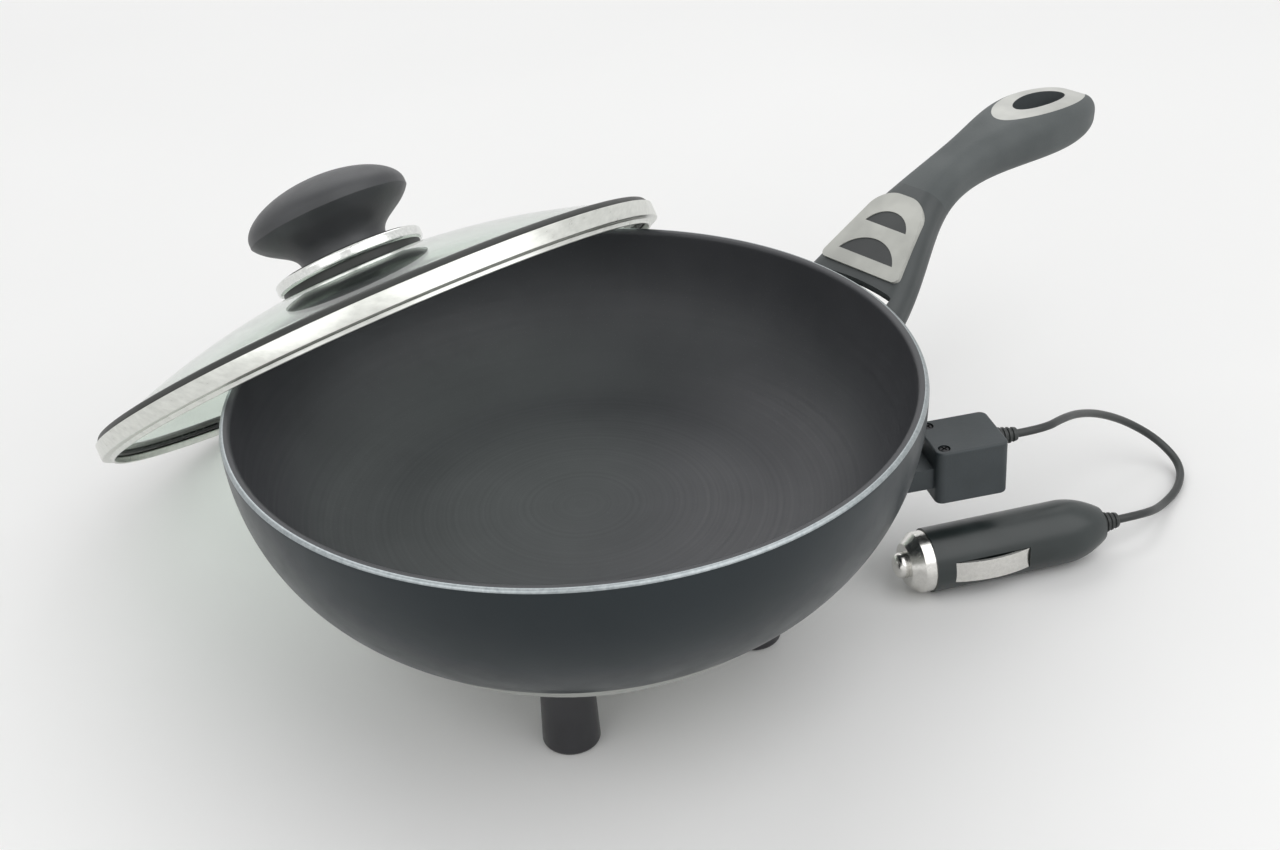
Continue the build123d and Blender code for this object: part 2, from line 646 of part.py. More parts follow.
spring_start = taper_end
contact_start = shell_end - SIDE_CONTACT_SETBACK - SIDE_CONTACT_LENGTH
contact_end = shell_end - SIDE_CONTACT_SETBACK
sleeve_flange_radius, sleeve_flange_length = PLUG_SLEEVE_FLANGE
fuse_bore = FUSE_RADIUS + FUSE_CLEARANCE
spigot_radius = PLUG_RADIUS - NOSE_WALL
contact_seat = PLUG_RADIUS - SIDE_CONTACT_EDGE
contact_floor = contact_seat - SIDE_CONTACT_SHEET - SIDE_CONTACT_TRAVEL - SIDE_CONTACT_CLEARANCE

with BuildPart() as plug_shell:
    with BuildSketch(plug_profile):
        with BuildLine():
            Bezier(
                (shell_start, PLUG_TAPER_RADIUS),
                (shell_start + PLUG_SHOULDER, PLUG_RADIUS),
                (taper_end, PLUG_RADIUS),
            )
            Polyline(
                (taper_end, PLUG_RADIUS),
                (shell_end, PLUG_RADIUS),
                (shell_end, 0),
                (shell_start, 0),
                (shell_start, PLUG_TAPER_RADIUS),
            )
        make_face()
    revolve(axis=plug_axis)
    for start, end, radius in (
        (shell_start, spring_start, CORD_RADIUS),
        (shell_start, sleeve_seat, PLUG_SLEEVE_ROOT_RADIUS),
        (sleeve_seat, sleeve_seat + sleeve_flange_length, sleeve_flange_radius),
        (spring_start - rear_contact_length, spring_start, rear_contact_radius),
        (spring_start, shell_end, fuse_bore),
        (shell_end - NOSE_SPIGOT_LENGTH, shell_end, spigot_radius),
    ):
        with BuildSketch(Plane(origin=plug_rear + plug_along * start, z_dir=plug_along)):
            Circle(radius)
        extrude(amount=end - start, mode=Mode.SUBTRACT)
    for side in (1, -1):
        slot_low, slot_high = sorted((side * contact_floor, side * 2 * PLUG_RADIUS))
        with BuildSketch(plug_level):
            with Locations(((contact_start + contact_end) / 2, (slot_low + slot_high) / 2)):
                Rectangle(SIDE_CONTACT_LENGTH + 2 * SIDE_CONTACT_CLEARANCE, slot_high - slot_low)
        extrude(amount=SIDE_CONTACT_WIDTH / 2 + SIDE_CONTACT_CLEARANCE, both=True, mode=Mode.SUBTRACT)

for label, kept in (("plug_shell_top", Keep.TOP), ("plug_shell_bottom", Keep.BOTTOM)):
    with BuildPart() as shell_half:
        add(plug_shell.part)
        split(bisect_by=plug_level, keep=kept)
    save(shell_half, label)

cord_stub_end = spring_start - rear_contact_length
with BuildPart() as plug_sleeve:
    with BuildSketch(plug_profile):
        with BuildLine():
            Polyline(
                (0, 0),
                (0, PLUG_SLEEVE_TIP_RADIUS),
                (shell_start, PLUG_SLEEVE_ROOT_RADIUS),
                (sleeve_seat, PLUG_SLEEVE_ROOT_RADIUS),
                (sleeve_seat, sleeve_flange_radius),
                (sleeve_seat + sleeve_flange_length, sleeve_flange_radius),
                (sleeve_seat + sleeve_flange_length, CORD_RADIUS),
                (cord_stub_end, CORD_RADIUS),
                (cord_stub_end, 0),
                (0, 0),
            )
        make_face()
    revolve(axis=plug_axis)
save(plug_sleeve, "plug_sleeve")

with BuildPart() as rear_contact:
    with BuildSketch(Plane(origin=plug_rear + plug_along * cord_stub_end, z_dir=plug_along)):
        Circle(rear_contact_radius)
    extrude(amount=rear_contact_length)
save(rear_contact, "rear_contact")

with BuildPart() as contact_spring:
    with BuildSketch(Plane(origin=plug_rear + plug_along * spring_start, z_dir=plug_along)):
        Circle(SPRING_RADIUS)
        Circle(SPRING_RADIUS - SPRING_WIRE, mode=Mode.SUBTRACT)
    extrude(amount=fuse_start - spring_start)
save(contact_spring, "contact_spring")

fuse_glass_radius = FUSE_RADIUS - FUSE_CLEARANCE
with BuildPart() as fuse:
    with BuildSketch(plug_profile):
        with BuildLine():
            Polyline(
                (fuse_start, 0),
                (fuse_start, FUSE_RADIUS),
                (fuse_start + FUSE_CAP_LENGTH, FUSE_RADIUS),
                (fuse_start + FUSE_CAP_LENGTH, fuse_glass_radius),
                (collar_start - FUSE_CAP_LENGTH, fuse_glass_radius),
                (collar_start - FUSE_CAP_LENGTH, FUSE_RADIUS),
                (collar_start, FUSE_RADIUS),
                (collar_start, 0),
                (fuse_start, 0),
            )
        make_face()
    revolve(axis=plug_axis)
save(fuse, "fuse")

tip_end = nose_end + TIP_PIN_LENGTH - NOSE_WALL
with BuildPart() as tip_pin:
    with BuildSketch(plug_profile):
        with BuildLine():
            Polyline(
                (tip_end, 0),
                (collar_start, 0),
                (collar_start, collar_radius),
                (nose_inside_end, collar_radius),
                (nose_inside_end, TIP_PIN_RADIUS),
                (tip_end - TIP_PIN_ROUND, TIP_PIN_RADIUS),
            )
            Bezier(
                (tip_end - TIP_PIN_ROUND, TIP_PIN_RADIUS),
                (tip_end, TIP_PIN_RADIUS),
                (tip_end, 0),
            )
        make_face()
    revolve(axis=plug_axis)
save(tip_pin, "tip_pin")

with BuildPart() as nose_ring:
    with BuildSketch(plug_profile):
        with BuildLine():
            Polyline(
                (shell_end - NOSE_SPIGOT_LENGTH, fuse_bore),
                (shell_end - NOSE_SPIGOT_LENGTH, spigot_radius),
                (shell_end, spigot_radius),
                (shell_end, PLUG_RADIUS - NOSE_STEP),
                (shell_end + NOSE_LENGTH / 2, PLUG_RADIUS - NOSE_STEP),
                (nose_end, NOSE_FRONT_RADIUS),
                (nose_end, TIP_PIN_RADIUS + TIP_CLEARANCE),
                (nose_inside_end, TIP_PIN_RADIUS + TIP_CLEARANCE),
                (nose_inside_end, collar_radius + TIP_CLEARANCE),
                (shell_end, collar_radius + TIP_CLEARANCE),
                (shell_end, fuse_bore),
                (shell_end - NOSE_SPIGOT_LENGTH, fuse_bore),
            )
        make_face()
    revolve(axis=plug_axis)
save(nose_ring, "nose_ring")

contact_middle = (contact_start + contact_end) / 2
for label, side in (("side_contact_left", 1), ("side_contact_right", -1)):
    low = side * contact_seat
    high = side * (contact_seat + SIDE_CONTACT_BOW)
    low_inside = low - side * SIDE_CONTACT_SHEET
    high_inside = high - side * SIDE_CONTACT_SHEET
    with BuildPart() as side_contact:
        with BuildSketch(plug_level):
            with BuildLine():
                ThreePointArc((contact_start, low), (contact_middle, high), (contact_end, low))
                Line((contact_end, low), (contact_end, low_inside))
                ThreePointArc(
                    (contact_end, low_inside),
                    (contact_middle, high_inside),
                    (contact_start, low_inside),
                )
                Line((contact_start, low_inside), (contact_start, low))
            make_face()
        extrude(amount=SIDE_CONTACT_WIDTH / 2, both=True)
    save(side_contact, label)

# ---------------------------------------------------------------- cord
# The route runs from the bushing's tip down to the table and round in one loop to the plug.
cord_points = [
    tuple(bushing_start + box_outwards * BUSHING_LENGTH),
    tuple(bushing_start + box_outwards * (BUSHING_LENGTH + CORD_LEAD)),
    (144.5, -63.3, 37.8),
    (158.0, -60.0, 32.4),
    (172.5, -58.4, 25.0),
    (185.8, -60.0, 16.4),
    (194.4, -66.6, 8.2),
    (193.8, -76.2, 2.8),
    (183.4, -82.6, 1.6),
    (168.2, -86.2, 3.3),
    tuple(plug_rear - plug_along * CORD_LEAD),
    tuple(plug_rear),
]
corner_radii = []
for before, corner, after in zip(cord_points, cord_points[1:], cord_points[2:]):
    run_in = Vector(*corner) - Vector(*before)
    run_out = Vector(*after) - Vector(*corner)
    half_turn = radians(run_in.get_angle(run_out)) / 2
    shorter = min(run_in.length, run_out.length)
    corner_radii.append(RUN_SHARE * shorter * cos(half_turn) / sin(half_turn))
cord = tube(cord_points, corner_radii, CORD_RADIUS)
save(cord, "cord")
cord_runs = [(Vector(*end) - Vector(*start)).length for start, end in zip(cord_points, cord_points[1:])]
cord_length = cord.part.volume / (pi * CORD_RADIUS**2)
print("cord radii:", [round(value, 1) for value in corner_radii])
print("cord runs:", [round(value, 1) for value in cord_runs])
print(f"cord length {cord_length:.1f} mm")

# ---------------------------------------------------------------- handle
# The handle rises from the side of the bowl, then levels out to a wide end with a hanging hole.
# Stations: x, z, slope in degrees, width and thickness of the rounded section.
slope = radians(HANDLE_SLOPE)
handle_start = from_rim(*HANDLE_START)
ring_centre = RIM_RADIUS + RING_REACH
yoke_gap_radius = RIM_RADIUS + YOKE_GAP_REACH


def along_slope(distance):
    """x and z of a point on the handle's straight lower stretch."""
    return (handle_start[0] + distance * cos(slope), handle_start[1] + distance * sin(slope))


handle_stations = (
    (*from_rim(*HANDLE_ROOT), HANDLE_ROOT_SLOPE, HANDLE_ROOT_WIDTH, HANDLE_THICKNESS),
    *(
        (*along_slope(step), HANDLE_SLOPE, width, HANDLE_THICKNESS)
        for step, width in zip(SECTION_STEPS, SECTION_WIDTHS)
    ),
    *((*from_rim(outwards, upwards), *section) for outwards, upwards, *section in GRIP_SECTIONS),
)


def handle_plane(x, z, angle):
    """A section plane square to the handle's line, local x across the handle."""
    turn = radians(angle)
    return Plane(origin=(x, 0, z), x_dir=(0, 1, 0), z_dir=(cos(turn), 0, sin(turn)))


def sloped_plane(distance, height):
    """A plane parallel to the handle's lower stretch, local x along it, at a height above it."""
    x, z = along_slope(distance)
    normal = Vector(-sin(slope), 0, cos(slope))
    return Plane(origin=Vector(x, 0, z) + normal * height, x_dir=(cos(slope), 0, sin(slope)), z_dir=normal)


with BuildPart() as handle_shape:
    for x, z, angle, width, thickness in handle_stations:
        with BuildSketch(handle_plane(x, z, angle)):
            RectangleRounded(width, thickness, thickness * SECTION_ROUND)
    loft()

# The bracket is a plate that follows the bowl's side, with a bright saddle in the handle's gap
# and a tongue that goes on up into the handle.
saddle_low = -TONGUE_THICKNESS / 2
saddle_high = HANDLE_THICKNESS / 2 - SADDLE_DROP
with BuildPart() as bracket_saddle:
    with BuildSketch(handle_plane(*along_slope(-TONGUE_BACK), HANDLE_SLOPE)):
        with Locations((0, (saddle_low + saddle_high) / 2)):
            Rectangle(YOKE_GAP_WIDTH - 2 * SADDLE_CLEARANCE, saddle_high - saddle_low)
    extrude(amount=TONGUE_LENGTH)
    with BuildSketch(Plane.XY):
        Circle(yoke_gap_radius - SADDLE_CLEARANCE)
    extrude(amount=2 * RIM_HEIGHT, mode=Mode.INTERSECT)

tongue_root_end, tongue_root_height = from_rim(*TONGUE_ROOT)
bracket_low = RIM_HEIGHT + BRACKET_LOW
bracket_top = RIM_HEIGHT + BRACKET_TOP
with BuildPart() as handle_bracket:
    with BuildSketch(upright_plane((0, 0, 0), -BRACKET_HALF_ANGLE)):
        with BuildLine():
            Bezier(
                (skirt_foot[0] + BRACKET_SHEET, skirt_foot[1]),
                (skirt_pull[0] + BRACKET_SHEET, skirt_pull[1]),
                (outer_pull[0] + BRACKET_SHEET, outer_pull[1]),
                (RIM_RADIUS + BRACKET_SHEET, RIM_HEIGHT),
            )
            Polyline(
                (RIM_RADIUS + BRACKET_SHEET, RIM_HEIGHT),
                (0, RIM_HEIGHT),
                (0, skirt_height),
                (skirt_foot[0] + BRACKET_SHEET, skirt_foot[1]),
            )
        make_face()
        with Locations((RIM_RADIUS, (bracket_low + bracket_top) / 2)):
            Rectangle(RIM_RADIUS, bracket_top - bracket_low, mode=Mode.INTERSECT)
    revolve(axis=Axis.Z, revolution_arc=2 * BRACKET_HALF_ANGLE)
    with BuildSketch(Plane.XY.offset(tongue_root_height)):
        with Locations(((SKIRT_RADIUS + tongue_root_end) / 2, 0)):
            Rectangle(tongue_root_end - SKIRT_RADIUS, TONGUE_WIDTH)
    extrude(amount=TONGUE_THICKNESS)
    with BuildSketch(handle_plane(*along_slope(-TONGUE_BACK), HANDLE_SLOPE)):
        Rectangle(TONGUE_WIDTH, TONGUE_THICKNESS)
    extrude(amount=TONGUE_LENGTH + TONGUE_BACK)
    add(bracket_saddle.part)
    add(bowl_envelope.part, mode=Mode.SUBTRACT)
    with BuildSketch(sloped_plane(HANDLE_SCREW_REACH, 0)):
        Circle(HANDLE_SCREW_RADIUS)
    extrude(amount=TONGUE_THICKNESS, both=True, mode=Mode.SUBTRACT)
save(handle_bracket, "handle_bracket")

grip_seam = handle_plane(*from_rim(*GRIP_SEAM), GRIP_SEAM_SLOPE)
with BuildPart() as handle_spine:
    with BuildSketch(grip_seam.offset(-SPINE_ROOT)):
        RectangleRounded(SPINE_WIDTH, SPINE_THICKNESS, SPINE_THICKNESS / 4)
    extrude(amount=SPINE_LENGTH + SPINE_ROOT)

inlay_low = HANDLE_THICKNESS / 2 + INLAY_PROUD - INLAY_THICKNESS


# The inlay is an arch: a straight foot near the bowl, tapering sides and a round top.
with BuildSketch(sloped_plane(0, inlay_low)) as inlay_outline:
    with BuildLine():
        Polyline(
            (INLAY_START, -INLAY_BASE_WIDTH / 2),
            (INLAY_START, INLAY_BASE_WIDTH / 2),
            (INLAY_START + INLAY_LENGTH, INLAY_TOP_WIDTH / 2),
            (INLAY_START + INLAY_LENGTH, -INLAY_TOP_WIDTH / 2),
            close=True,
        )
    make_face()
    fillet(inlay_outline.vertices().group_by(Axis.X)[-1], radius=INLAY_ROUND)
    fillet(inlay_outline.vertices().group_by(Axis.X)[0], radius=INLAY_FOOT_ROUND)

# Two half moons in it are flat towards the bowl.
with BuildSketch(sloped_plane(0, inlay_low)) as insert_outline:
    for start, half_width, height in INSERT_SIZES:
        with BuildLine():
            foot = INLAY_START + start
            Line((foot, -half_width), (foot, half_width))
            ThreePointArc((foot, half_width), (foot + height, 0), (foot, -half_width))
        make_face()

with BuildPart() as handle_inlay:
    extrude(inlay_outline.sketch, amount=INLAY_THICKNESS)
    extrude(insert_outline.sketch, amount=INLAY_THICKNESS, mode=Mode.SUBTRACT)
save(handle_inlay, "handle_inlay")

with BuildPart() as inlay_inserts:
    extrude(insert_outline.sketch, amount=INLAY_THICKNESS - INSERT_PROUD)
save(inlay_inserts, "inlay_inserts")

handle_head_radius, handle_head_height = HANDLE_SCREW_HEAD
handle_under = -HANDLE_THICKNESS / 2
with BuildPart() as handle_core:
    add(handle_shape.part)
    split(bisect_by=grip_seam, keep=Keep.BOTTOM)
    add(handle_spine.part)
    add(bowl_envelope.part, mode=Mode.SUBTRACT)
    with BuildSketch(Plane.XY):
        Circle(yoke_gap_radius)
        with Locations((yoke_gap_radius / 2, 0)):
            Rectangle(yoke_gap_radius, YOKE_GAP_WIDTH, mode=Mode.INTERSECT)
    extrude(amount=2 * RIM_HEIGHT, mode=Mode.SUBTRACT)
    with BuildSketch(handle_plane(*handle_start, HANDLE_SLOPE)):
        Rectangle(TONGUE_WIDTH, TONGUE_THICKNESS)
    extrude(amount=TONGUE_LENGTH, mode=Mode.SUBTRACT)
    with BuildSketch(sloped_plane(HANDLE_SCREW_REACH, handle_under)):
        Circle(handle_head_radius + SCREW_CLEARANCE)
    extrude(amount=handle_head_height, mode=Mode.SUBTRACT)
    with BuildSketch(sloped_plane(HANDLE_SCREW_REACH, handle_under)):
        Circle(HANDLE_SCREW_RADIUS)
    extrude(amount=TONGUE_THICKNESS / 2 - handle_under, mode=Mode.SUBTRACT)
    extrude(inlay_outline.sketch, amount=HANDLE_THICKNESS, mode=Mode.SUBTRACT)
save(handle_core, "handle_core")

with BuildPart() as handle_screw:
    with BuildSketch(sloped_plane(HANDLE_SCREW_REACH, handle_under)):
        Circle(handle_head_radius)
    extrude(amount=handle_head_height)
    with BuildSketch(sloped_plane(HANDLE_SCREW_REACH, handle_under + handle_head_height)):
        Circle(HANDLE_SCREW_RADIUS)
    extrude(amount=TONGUE_THICKNESS / 2 - handle_under - handle_head_height)
save(handle_screw, "handle_screw")

ring_top = handle_stations[6][1] + handle_stations[6][4] / 2
with BuildPart() as ring_blank:
    with BuildSketch(Plane.XY.offset(RIM_HEIGHT)):
        with Locations((ring_centre, 0)):
            Ellipse(*RING_SLEEVE)
    extrude(amount=RIM_HEIGHT)
    with BuildSketch(Plane.XY.offset(ring_top - RING_FLANGE_DEPTH)):
        with Locations((ring_centre, 0)):
            Ellipse(*RING_FLANGE)
    extrude(amount=RIM_HEIGHT)

with BuildPart() as hang_ring:
    add(handle_shape.part)
    add(ring_blank.part, mode=Mode.INTERSECT)
    with BuildSketch(Plane.XY):
        with Locations((ring_centre, 0)):
            Ellipse(*RING_HOLE)
    extrude(amount=2 * RIM_HEIGHT, mode=Mode.SUBTRACT)
save(hang_ring, "hang_ring")

with BuildPart() as handle_grip:
    add(handle_shape.part)
    split(bisect_by=grip_seam, keep=Keep.TOP)
    add(handle_spine.part, mode=Mode.SUBTRACT)
    add(ring_blank.part, mode=Mode.SUBTRACT)
save(handle_grip, "handle_grip")

# ---------------------------------------------------------------- lid
# The lid leans: its lowest edge stands on the table and its glass rests on the rim.
tilt = radians(LID_TILT)
lean = Vector(*radial(LID_ANGLE, 1.0))
lid_up = lean * sin(tilt) + Vector(0, 0, cos(tilt))
lid_facing = lean * -cos(tilt) + Vector(0, 0, sin(tilt))
lid_across = lean.cross(Vector(0, 0, 1))
glass_sphere = (GLASS_RADIUS**2 + GLASS_RISE**2) / (2 * GLASS_RISE)
glass_crown = GLASS_RISE + GLASS_SEAT
band_inside = GLASS_RADIUS + SEAL_WIDTH
band_radius = band_inside + LID_BAND_SHEET
lid_skirt_radius = band_radius - LID_SKIRT_STEP
seal_inside = GLASS_RADIUS - SEAL_OVERLAP
lid_height = max(
    band_radius * sin(tilt) + LID_BAND_SHEET * cos(tilt),
    lid_skirt_radius * sin(tilt) + LID_SKIRT_DEPTH * cos(tilt),
)
sphere_depth = glass_sphere - glass_crown
sphere_height = lid_height - sphere_depth * cos(tilt)
rim_edge = (RIM_RADIUS - RIM_ROUND, RIM_HEIGHT - RIM_ROUND)
reach = glass_sphere - RIM_ROUND - LID_GAP
sphere_side = rim_edge[0] - sqrt(reach**2 - (rim_edge[1] - sphere_height) ** 2)
lid_centre = lean * (sphere_side + sphere_depth * sin(tilt)) + Vector(0, 0, lid_height)
lid_profile = Plane(origin=lid_centre, x_dir=lid_across, z_dir=lid_facing)
lid_axis = Axis(lid_centre, lid_up)


def lid_level(height):
    """A plane square to the lid's axis, at a height above the band's seat."""
    return Plane(origin=lid_centre + lid_up * height, x_dir=lid_across, z_dir=lid_up)


def dome(radius, thickness=0.0):
    """Height of the glass at a radius: its underside, or its top with a thickness."""
    return sqrt((glass_sphere + thickness) ** 2 - radius**2) - sphere_depth


with BuildPart() as lid_glass:
    with BuildSketch(lid_profile):
        with BuildLine():
            Line((0, dome(0)), (0, dome(0, GLASS_THICKNESS)))
            ThreePointArc(
                (0, dome(0, GLASS_THICKNESS)),
                (GLASS_RADIUS / 2, dome(GLASS_RADIUS / 2, GLASS_THICKNESS)),
                (GLASS_RADIUS, dome(GLASS_RADIUS, GLASS_THICKNESS)),
            )
            Line((GLASS_RADIUS, dome(GLASS_RADIUS, GLASS_THICKNESS)), (GLASS_RADIUS, dome(GLASS_RADIUS)))
            ThreePointArc(
                (GLASS_RADIUS, dome(GLASS_RADIUS)),
                (GLASS_RADIUS / 2, dome(GLASS_RADIUS / 2)),
                (0, dome(0)),
            )
        make_face()
    revolve(axis=lid_axis)
    with BuildSketch(lid_level(0)):
        Circle(GLASS_HOLE_RADIUS)
    extrude(amount=GLASS_RISE + 2 * GLASS_THICKNESS, mode=Mode.SUBTRACT)
save(lid_glass, "lid_glass")

with BuildPart() as lid_band:
    with BuildSketch(lid_profile):
        with BuildLine():
            Polyline(
                (band_radius, -LID_BAND_SHEET),
                (band_radius, LID_BAND_HEIGHT - LID_BAND_SHEET),
                (band_inside, LID_BAND_HEIGHT - LID_BAND_SHEET),
                (band_inside, 0),
                (lid_skirt_radius - LID_BAND_SHEET, 0),
                (lid_skirt_radius - LID_BAND_SHEET, -LID_SKIRT_DEPTH),
                (lid_skirt_radius, -LID_SKIRT_DEPTH),
                (lid_skirt_radius, -LID_BAND_SHEET),
                close=True,
            )
        make_face()
    revolve(axis=lid_axis)
save(lid_band, "lid_band")

with BuildPart() as lid_seal:
    with BuildSketch(lid_profile):
        with BuildLine():
            Polyline(
                (seal_inside, 0),
                (band_inside, 0),
                (band_inside, SEAL_TOP - GLASS_SEAT),
                (band_inside - GLASS_SEAT, SEAL_TOP),
                (seal_inside, SEAL_TOP + GLASS_SEAT),
                close=True,
            )
        make_face()
    revolve(axis=lid_axis)
    add(lid_glass.part, mode=Mode.SUBTRACT)
save(lid_seal, "lid_seal")

gasket_radius, gasket_height = KNOB_GASKET
base_radius, base_height = KNOB_BASE
crown_top = dome(0, GLASS_THICKNESS)
gasket_top = crown_top + gasket_height - GLASS_SEAT
base_top = gasket_top + base_height
gasket_low_inside = (KNOB_SCREW_RADIUS, dome(KNOB_SCREW_RADIUS, GLASS_THICKNESS))
gasket_low_middle = (gasket_radius / 2, dome(gasket_radius / 2, GLASS_THICKNESS))
gasket_low_edge = (gasket_radius, dome(gasket_radius, GLASS_THICKNESS))
with BuildPart() as knob_gasket:
    with BuildSketch(lid_profile):
        with BuildLine():
            Polyline(gasket_low_inside, (KNOB_SCREW_RADIUS, gasket_top), (gasket_radius, gasket_top))
            Line((gasket_radius, gasket_top), gasket_low_edge)
            ThreePointArc(gasket_low_edge, gasket_low_middle, gasket_low_inside)
        make_face()
    revolve(axis=lid_axis)
save(knob_gasket, "knob_gasket")

with BuildPart() as knob_base:
    with BuildSketch(lid_level(gasket_top)):
        Circle(base_radius)
    extrude(amount=base_height)
    fillet(knob_base.edges().filter_by(GeomType.CIRCLE), radius=KNOB_BASE_ROUND)
    with BuildSketch(lid_level(gasket_top)):
        Circle(KNOB_SCREW_RADIUS)
    extrude(amount=base_height, mode=Mode.SUBTRACT)
save(knob_base, "knob_base")

edge_height = base_top + KNOB_EDGE_HEIGHT
knob_top = base_top + KNOB_HEIGHT
screw_top = base_top + KNOB_SCREW_BITE
neck_foot = (KNOB_NECK_RADIUS, base_top)
neck_pull = (KNOB_NECK_RADIUS - KNOB_WAIST, base_top + KNOB_EDGE_HEIGHT / 2)
underside_pull = (KNOB_RADIUS - KNOB_UNDERSIDE_PULL[0], edge_height - KNOB_UNDERSIDE_PULL[1])
edge_low = (KNOB_RADIUS, edge_height)
edge_high = (KNOB_RADIUS, edge_height + KNOB_EDGE_ROUND)
shoulder_pull = (KNOB_RADIUS, edge_height + KNOB_SHOULDER)
crown_pull = (KNOB_CROWN_PULL, knob_top)
with BuildPart() as knob:
    with BuildSketch(lid_profile):
        with BuildLine():
            Polyline((0, knob_top), (0, screw_top), (KNOB_SCREW_RADIUS, screw_top))
            Polyline((KNOB_SCREW_RADIUS, screw_top), (KNOB_SCREW_RADIUS, base_top), neck_foot)
            Bezier(neck_foot, neck_pull, underside_pull, edge_low)
            Line(edge_low, edge_high)
            Bezier(edge_high, shoulder_pull, crown_pull, (0, knob_top))
        make_face()
    revolve(axis=lid_axis)
save(knob, "knob")

washer_radius, washer_height = KNOB_WASHER
washer_top = dome(washer_radius)
with BuildPart() as knob_washer:
    with BuildSketch(lid_profile):
        with BuildLine():
            Polyline(
                (KNOB_SCREW_RADIUS, washer_top - washer_height),
                (washer_radius, washer_top - washer_height),
                (washer_radius, washer_top),
                (KNOB_SCREW_RADIUS, washer_top),
                close=True,
            )
        make_face()
    revolve(axis=lid_axis)
save(knob_washer, "knob_washer")

head_radius, head_height = KNOB_SCREW_HEAD
with BuildPart() as knob_screw:
    with BuildSketch(lid_level(washer_top - washer_height - head_height)):
        Circle(head_radius)
    extrude(amount=head_height)
    with BuildSketch(lid_level(washer_top - washer_height)):
        Circle(KNOB_SCREW_RADIUS)
    extrude(amount=screw_top - washer_top + washer_height)
save(knob_screw, "knob_screw")
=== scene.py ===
"""The looks of a small plug-in electric skillet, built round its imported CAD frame."""

import math

import bmesh
import bpy
from mathutils import Matrix, Vector


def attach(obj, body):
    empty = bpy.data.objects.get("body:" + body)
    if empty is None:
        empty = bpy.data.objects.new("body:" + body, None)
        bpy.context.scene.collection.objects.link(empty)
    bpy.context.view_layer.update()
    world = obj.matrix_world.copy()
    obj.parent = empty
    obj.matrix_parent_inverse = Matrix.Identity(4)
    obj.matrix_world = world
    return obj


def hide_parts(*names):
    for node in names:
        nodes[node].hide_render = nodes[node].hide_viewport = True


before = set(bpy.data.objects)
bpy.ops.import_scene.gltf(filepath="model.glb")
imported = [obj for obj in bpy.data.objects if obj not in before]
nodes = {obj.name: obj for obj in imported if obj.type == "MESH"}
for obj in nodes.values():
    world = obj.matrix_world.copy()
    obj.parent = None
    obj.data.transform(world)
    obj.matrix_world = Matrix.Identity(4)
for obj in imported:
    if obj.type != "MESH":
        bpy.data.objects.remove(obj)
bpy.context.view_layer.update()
PAN = "pan"
LID = "lid"
UP = Vector((0.0, 0.0, 1.0))


# ---------------------------------------------------------------- helpers
def add_object(name, data):
    """A new object round its data, in the scene."""
    thing = bpy.data.objects.new(name, data)
    bpy.context.scene.collection.objects.link(thing)
    return thing


def heading(azimuth, elevation=0.0):
    """The unit vector at an azimuth and an elevation, both in radians."""
    flat = math.cos(elevation)
    return Vector((flat * math.cos(azimuth), flat * math.sin(azimuth), math.sin(elevation)))


# ---------------------------------------------------------------- camera
# The picture's own camera: a short distance, thirty degrees up, rolled by nearly five degrees.
RIM_HEIGHT = 0.089
CAMERA_DISTANCE = 0.55
CAMERA_AZIMUTH = math.radians(-128.0)
CAMERA_ELEVATION = math.radians(29.93)
CAMERA_ROLL = math.radians(4.885)
CAMERA_LENS = 54.5
CAMERA_SENSOR = 36.0
CAMERA_SHIFT = (0.0535, -0.0345)
CAMERA_NEAREST = 0.01


def make_camera():
    data = bpy.data.cameras.new("picture_camera")
    camera = add_object("picture_camera", data)
    outwards = heading(CAMERA_AZIMUTH, CAMERA_ELEVATION)
    right = Vector((-math.sin(CAMERA_AZIMUTH), math.cos(CAMERA_AZIMUTH), 0.0))
    up = outwards.cross(right)
    rolled_right = right * math.cos(CAMERA_ROLL) - up * math.sin(CAMERA_ROLL)
    rolled_up = up * math.cos(CAMERA_ROLL) + right * math.sin(CAMERA_ROLL)
    place = UP * RIM_HEIGHT + outwards * CAMERA_DISTANCE
    turn = Matrix((rolled_right, rolled_up, outwards)).transposed().to_4x4()
    camera.matrix_world = Matrix.Translation(place) @ turn
    data.lens = CAMERA_LENS
    data.sensor_width = CAMERA_SENSOR
    data.shift_x, data.shift_y = CAMERA_SHIFT
    data.clip_start = CAMERA_NEAREST
    bpy.context.scene.camera = camera


make_camera()

# ---------------------------------------------------------------- node trees
# Nearly all of a noise's values lie in the wide span, and most of them in the narrow one.
WIDE = (0.3, 0.7)
NARROW = (0.35, 0.65)
TURNS_DETAIL = 4.0
FLAT = (1.0, 1.0, 0.0)


